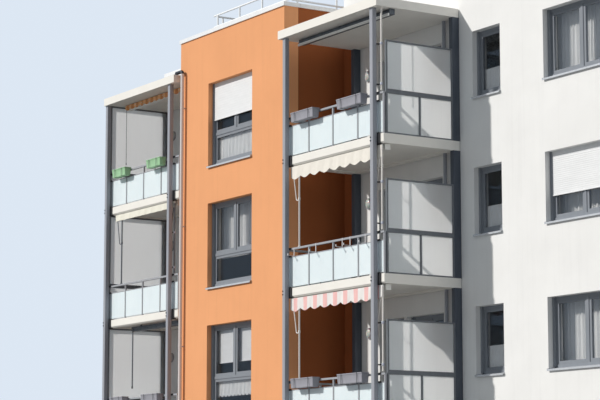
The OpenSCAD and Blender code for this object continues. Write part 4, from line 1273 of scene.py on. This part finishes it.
# %% Make the cases and bars
pale_cases, dark_cases = [], []
for plan in awnings:
    (pale_cases if plan.is_pale else dark_cases).append(awning_case(plan))
    # On the right tower's closed awnings the bar is painted pale in front of a dark case: a painted highlight
    # for the bar's sunlit front.
    (pale_cases if plan.is_pale or plan.side == "right" else dark_cases).append(front_bar(plan))
pale_coat = flake_paint("pale_coat", (0.80, 0.80, 0.77), 0.05, 0.45, 0.03)
dress(joined("pale_cases", pale_cases), pale_coat, "awning_case", "awning_cases", smooth=35)
dress(joined("dark_cases", dark_cases), case_paint, "awning_case", smooth=35)

# %% Model the arms and the struts
strut_radius, strut_inset, strut_length = 0.011, 0.056, 0.665
strut_bend_radius, strut_bend_side, strut_bend_rise = 0.050, 0.070, 0.025
collar_radius = 0.024
tube_radius, tube_foot = 0.019, 0.880
right_tube_place, tube_forward = 3.612, 0.030
crank_radius, thick_crank_radius, crank_length = 0.007, 0.016, 1.450
arm_cream = flake_paint("arm_cream", (0.82, 0.79, 0.75), 0.0, 0.42, 0.03)


def collar(name, x, y, z, radius, high):
    """A short round sleeve about an upright rod."""
    return rounded(add_disc(name, (x, y, z), radius, high, 24), 0.003, 2)


def open_arms(plan):
    """Two arms on the handrail, each with its strut."""
    left, right, y, bar_top = ends_of(plan)
    low = bar_top - bar_high
    foot = ground_floor + plan.storey * storey_height + handrail_height
    parts = []
    for end, side in ((left, 1.0), (right, -1.0)):
        arm = end + side * arm_inset
        parts.append(round_rod("arm", [(arm, y, foot + 0.012), (arm, y, low)], arm_radius, 5))
        parts.append(collar("foot", arm, y, foot + 0.010, 0.030, 0.020))
        parts.append(collar("joint", arm, y, low - strut_length, collar_radius, 0.060))
        parts.append(collar("head", arm, y, low - 0.015, collar_radius, 0.030))
        centre = (arm - side * strut_bend_side, y, low - strut_length + strut_bend_rise)
        start, end_angle = (180.0, 330.0) if side > 0 else (0.0, -150.0)
        turn = bend(centre, strut_bend_radius, start, end_angle, 10)
        path = [Vector((end + side * strut_inset, y, low)), *turn, Vector((arm, y, low - strut_length))]
        parts.append(round_rod("strut", path, strut_radius, 4))
    return parts


print("helpers: collar, open_arms")

# %% Model the thick tubes and the cranks
def tube_spot(plan):
    """Where a thick tube hangs: left to right, front to back, and its top."""
    slab_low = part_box(f"{plan.side}_balcony_slabs")[0]
    if plan.is_open:
        left, right, y, bar_top = ends_of(plan)
        return slab_low.x + plan.rod, y, bar_top - bar_high
    return slab_low.x + right_tube_place, slab_low.y + tube_forward, ceiling_over(plan.storey)


def has_tube(plan):
    """Whether a thick tube hangs at this balcony."""
    return plan.is_open or plan.side == "right"


def thick_tube(plan):
    """A tube with a sleeve at its top and a cap at its foot."""
    x, y, top = tube_spot(plan)
    foot = ground_floor + plan.storey * storey_height + tube_foot
    return [
        round_rod("tube", [(x, y, foot), (x, y, top)], tube_radius, 5),
        collar("sleeve", x, y, top - 0.030, collar_radius, 0.060),
        collar("cap", x, y, foot + 0.01, 0.022, 0.030),
    ]


def crank(plan):
    """A straight rod that hangs on an eye, with a grip at its foot."""
    left, right, y, bar_top = ends_of(plan)
    x, low = left - plan.left + plan.rod, bar_top - bar_high
    ring = bend((x, y, low - 0.016), 0.012, 90.0, 450.0, 16)
    thick = thick_crank_radius if plan.side == "left" and not plan.is_pale else crank_radius
    return [
        round_rod("eye", ring, 0.004, 3),
        round_rod("rod", [(x, y, low - crank_length), (x, y, low - 0.026)], thick, 4),
        collar("grip", x, y, low - crank_length + 0.03, thick + 0.005, 0.060),
    ]


print("helpers: tube_spot, has_tube, thick_tube, crank")

# %% Make the arms, the struts, the tubes and the cranks
cream_parts, grey_parts = [], []
for plan in awnings:
    made = open_arms(plan) if plan.is_open else crank(plan)
    if has_tube(plan):
        made = made + thick_tube(plan)
    (cream_parts if plan.side == "right" else grey_parts).extend(made)
arm_grey = flake_paint("arm_grey", (0.17, 0.19, 0.22), 0.1, 0.42, 0.03)
dress(joined("right_awning_arms", cream_parts), arm_cream, "awning_metal", "awning_arms", smooth=40)
dress(joined("left_awning_arms", grey_parts), arm_grey, "awning_metal", smooth=40)

# %% [markdown]
# Clamps and rail ends
#
# Nothing on a balcony floats. Each railing ends in flat steel lugs that reach to the masts, and each
# thick tube is held by two clamps, whose arms reach to the mast too. A clamp is a short sleeve, and
# its arm is made of two flat bars that meet beside the mast.

# %% Hold the tubes and the rails to the masts
clamp_coat = flake_paint("clamp_coat", (0.55, 0.58, 0.66), 0.1, 0.40, 0.03)
clamp_heights, rail_end_heights = (1.835, 1.010), (0.835, 0.670, 0.012)
lug_overlap, lug_reach, arm_half = 0.03, 0.055, 0.012
clamps, holders = [], []
for side in ("left", "right"):
    slab_low, slab_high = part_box(f"{side}_balcony_slabs")
    back = slab_low.y - mast_gap
    for storey in range(4):
        floor_level = ground_floor + storey * storey_height
        for left in masts_of(side):
            for height in rail_end_heights:
                z = floor_level + height
                mast_right = left + mast_wide
                lug_end = min(mast_right + lug_reach, slab_high.x), slab_low.y + 0.008, z + lug_half
                lug_start = mast_right - lug_overlap, back, z - lug_half
                holders.append(plate("rail_end", lug_start, lug_end, 0.002))
for plan in awnings:
    if has_tube(plan):
        x, y, top = tube_spot(plan)
        slab_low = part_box(f"{plan.side}_balcony_slabs")[0]
        mast_right = masts_of(plan.side)[1] + mast_wide
        for height in clamp_heights:
            z = ground_floor + plan.storey * storey_height + height
            clamps.append(collar("clamp", x, y, z, 0.030, 0.050))
            under, over = z - arm_half, z + arm_half
            forward = mast_right - lug_overlap, slab_low.y - mast_gap, under
            holders.append(plate("arm", forward, (mast_right + 0.012, y + 0.010, over)))
            holders.append(plate("arm", (mast_right, y - 0.010, under), (x, y + 0.010, over)))
dress(joined("tube_clamps", clamps), clamp_coat, "awning_metal", smooth=40)
dress(joined("mast_holders", holders), bracket_black, "mast_metal", smooth=30)

# %% [markdown]
# Side screens
#
# A frosted screen closes one side of every balcony. On the left tower it runs from the floor to just
# under the ceiling, in a slim frame. On the right tower it is lower, with a stouter frame and two panes
# below the middle rail. Each frame is put together as a joiner does it: two stiles, then the rails
# between them, then the panes.

# %% Model one side screen
pane_thick, pane_seat, screen_deep = 0.010, 0.006, 0.044
lower_row, middle_rail, end_rail = 0.815, 0.090, 0.030
wall_clearance, ceiling_clearance, mast_clearance = 0.005, 0.005, 0.001


def screen(low, high, stile, lower_panes):
    """The members and the panes of one screen: a lower row of panes and one tall pane over it."""
    sides = low.y, high.y - stile
    members = [plate("stile", (low.x, y, low.z), (high.x, y + stile, high.z)) for y in sides]
    rows = [(low.z + end_rail, low.z + lower_row, lower_panes),
            (low.z + lower_row + middle_rail, high.z - end_rail, 1)]
    for z0, z1 in ((low.z, rows[0][0]), (rows[0][1], rows[1][0]), (rows[1][1], high.z)):
        members.append(plate("rail", (low.x, low.y + stile, z0), (high.x, high.y - stile, z1)))
    panes = []
    middle_x = (low.x + high.x) / 2
    for z0, z1, count in rows:
        width = (high.y - low.y - (count + 1) * stile) / count
        for k in range(count):
            y0 = low.y + stile + k * (width + stile)
            panes.append(plate("pane", (middle_x - pane_thick / 2, y0 - pane_seat, z0 - pane_seat),
                               (middle_x + pane_thick / 2, y0 + width + pane_seat, z1 + pane_seat)))
            if k:
                members.append(plate("bar", (low.x, y0 - stile, z0), (high.x, y0, z1)))
    return members, panes


print("helper: screen")

# %% Set up the side screens
screen_paint = flake_paint("screen_paint", (0.17, 0.185, 0.205), 0.0, 0.46, 0.03)
screen_members, screen_glass = [], []
recess_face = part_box("left_recess_wall")[0].y
for low, high in solids("side_screen_frames"):
    stile, lower_panes = 0.040, 2
    if middle((low, high)).x < bay_low.x:
        stile, lower_panes = 0.030, 1
        tower_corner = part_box("left_balcony_slabs")[0]
        low = Vector((tower_corner.x + screen_inset, tower_corner.y - mast_gap + mast_clearance, low.z))
        high = Vector((low.x + screen_deep, recess_face - wall_clearance,
                       ceiling_over(storey_of(low.z)) - ceiling_clearance))
    members, panes = screen(low, high, stile, lower_panes)
    screen_members.extend(members)
    screen_glass.extend(panes)
framework = joined("screen_members", screen_members)
dress(framework, screen_paint, "railing_metal", "side_screen_frames", smooth=30)
dress(joined("screen_panes", screen_glass), side_frost, "frosted_glass", "side_screen_glass", smooth=30)

# %% [markdown]
# Empty planter holders
#
# The rail of the right balcony on the third level has no planters, but their steel holders are still
# on it: a flat strip that hooks over the handrail, a shelf that reaches out and a small lip. Each is
# bent from one strip, so each is made of short flat lengths that meet at the bends.

# %% Hook on the empty holders
# Each place is a distance from the rail's left end.
holder_places = (0.376, 1.216, 2.203, 2.487, 3.032)
strip_wide, strip_thick = 0.026, 0.005
shelf_reach, shelf_below, lip_high = 0.155, 0.185, 0.045
handrail_deep, tongue_high, holder_storey = 0.050, 0.03, 2
rail_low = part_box("right_railings")[0]
strips = []
for place in holder_places:
    x = rail_low.x + place
    top = ground_floor + holder_storey * storey_height + handrail_height + strip_thick
    front, back, shelf = rail_low.y - strip_thick, rail_low.y + handrail_deep, top - shelf_below
    lengths = (
        ((front, top - strip_thick), (back + strip_thick, top)),
        ((back, top - tongue_high), (back + strip_thick, top)),
        ((front, shelf), (front + strip_thick, top)),
        ((front - shelf_reach, shelf), (front, shelf + strip_thick)),
        ((front - shelf_reach, shelf), (front - shelf_reach + strip_thick, shelf + lip_high)),
    )
    for (y0, z0), (y1, z1) in lengths:
        strips.append(plate("strip", (x, y0, z0), (x + strip_wide, y1, z1)))
pale_steel = flake_paint("pale_steel", (0.62, 0.60, 0.60), 0.2, 0.4, 0.03)
dress(joined("empty_holders", strips), pale_steel, "railing_metal", smooth=30)

# %% [markdown]
# Awning valances
#
# Four awnings show a valance, a short strip of canvas that hangs from the front bar. Two on the
# right are deep, with nine round scallops: one cream, and one in pink and white stripes. On the left
# the top one is striped in two oranges with small scallops, and the next is a plain cream strip.

# %% Hang the valances
cream = (0.90, 0.85, 0.76)
valance_thickness = 0.006
scallop_depths = {0: 0.0, 9: 0.060, 12: 0.045}
for plan in awnings:
    if plan.drop:
        left, right, bar_y, bar_top = ends_of(plan)
        front = bar_y - bar_deep / 2 - 0.002
        bottom_corner = Vector((left, front - valance_thickness, bar_top - plan.drop))
        box = bottom_corner, Vector((right, front, bar_top - 0.004))
        width, drop = right - left, scallop_depths[plan.scallops]
        pitch = width / max(plan.scallops, 1)
        piece, flat, area = hanging_cloth(
            f"valance_{plan.side}_{plan.storey}", box, 0.37, 0.009, 0.001, plan.scallops, drop,
            width / max(plan.scallops, 9) / 16)
        if plan.look == "red stripes":
            stripes = (pitch, left + pitch * 0.30, 0.42)
            colour = cloth("striped_canvas", [(0.90, 0.87, 0.84), (0.88, 0.50, 0.48)], stripes, glow=0.3)
        elif plan.look == "orange":
            stripes = (pitch, left + pitch / 4, 0.5)
            colour = cloth("orange_canvas", [(0.93, 0.50, 0.22), (0.66, 0.25, 0.07)], stripes, glow=0.3)
        else:
            shade_of_cream = cream if plan.scallops else (0.90, 0.87, 0.74)
            colour = cloth(f"cream_canvas_{plan.storey}", [shade_of_cream], glow=0.3)
        replaced = ["awning_valances"] if plan.look == "cream" else []
        dress(piece, colour, "awning_cloth", *replaced, smooth=60)
        print(f"  flat cut {flat[0]:.2f} x {flat[1]:.2f} m")

# %% [markdown]
# The floor
#
# The block stands on a plain pale floor, which only bounces light and takes the shadow. Its colour
# is darker for the light that it bounces up than for the camera, mirrors and glass, so that the
# undersides of the slabs stay in shade.

# %% Lay the floor
floor_size = 160.0
deselect()
bpy.ops.mesh.primitive_plane_add(size=floor_size, location=(0.0, 0.0, 0.0))
floor = bpy.context.object
floor.name = "floor"
floor_paint, floor_shader = start_material("floor_paint", 0.9)
floor_tree = floor_paint.node_tree
floor_ray = floor_tree.nodes.new("ShaderNodeLightPath")
camera_ray, glossy_ray, through_ray = (
    floor_ray.outputs[f"Is {kind} Ray"] for kind in ("Camera", "Glossy", "Transmission"))
seen_directly = calculate(floor_paint, "MAXIMUM", camera_ray, glossy_ray)
seen_directly = calculate(floor_paint, "MAXIMUM", seen_directly, through_ray)
bounced_grey, seen_grey = (0.24, 0.24, 0.24), (0.66, 0.66, 0.65)
colour_from(floor_paint, floor_shader, mixed(floor_paint, seen_directly, bounced_grey, seen_grey))
floor.data.materials.append(floor_paint)
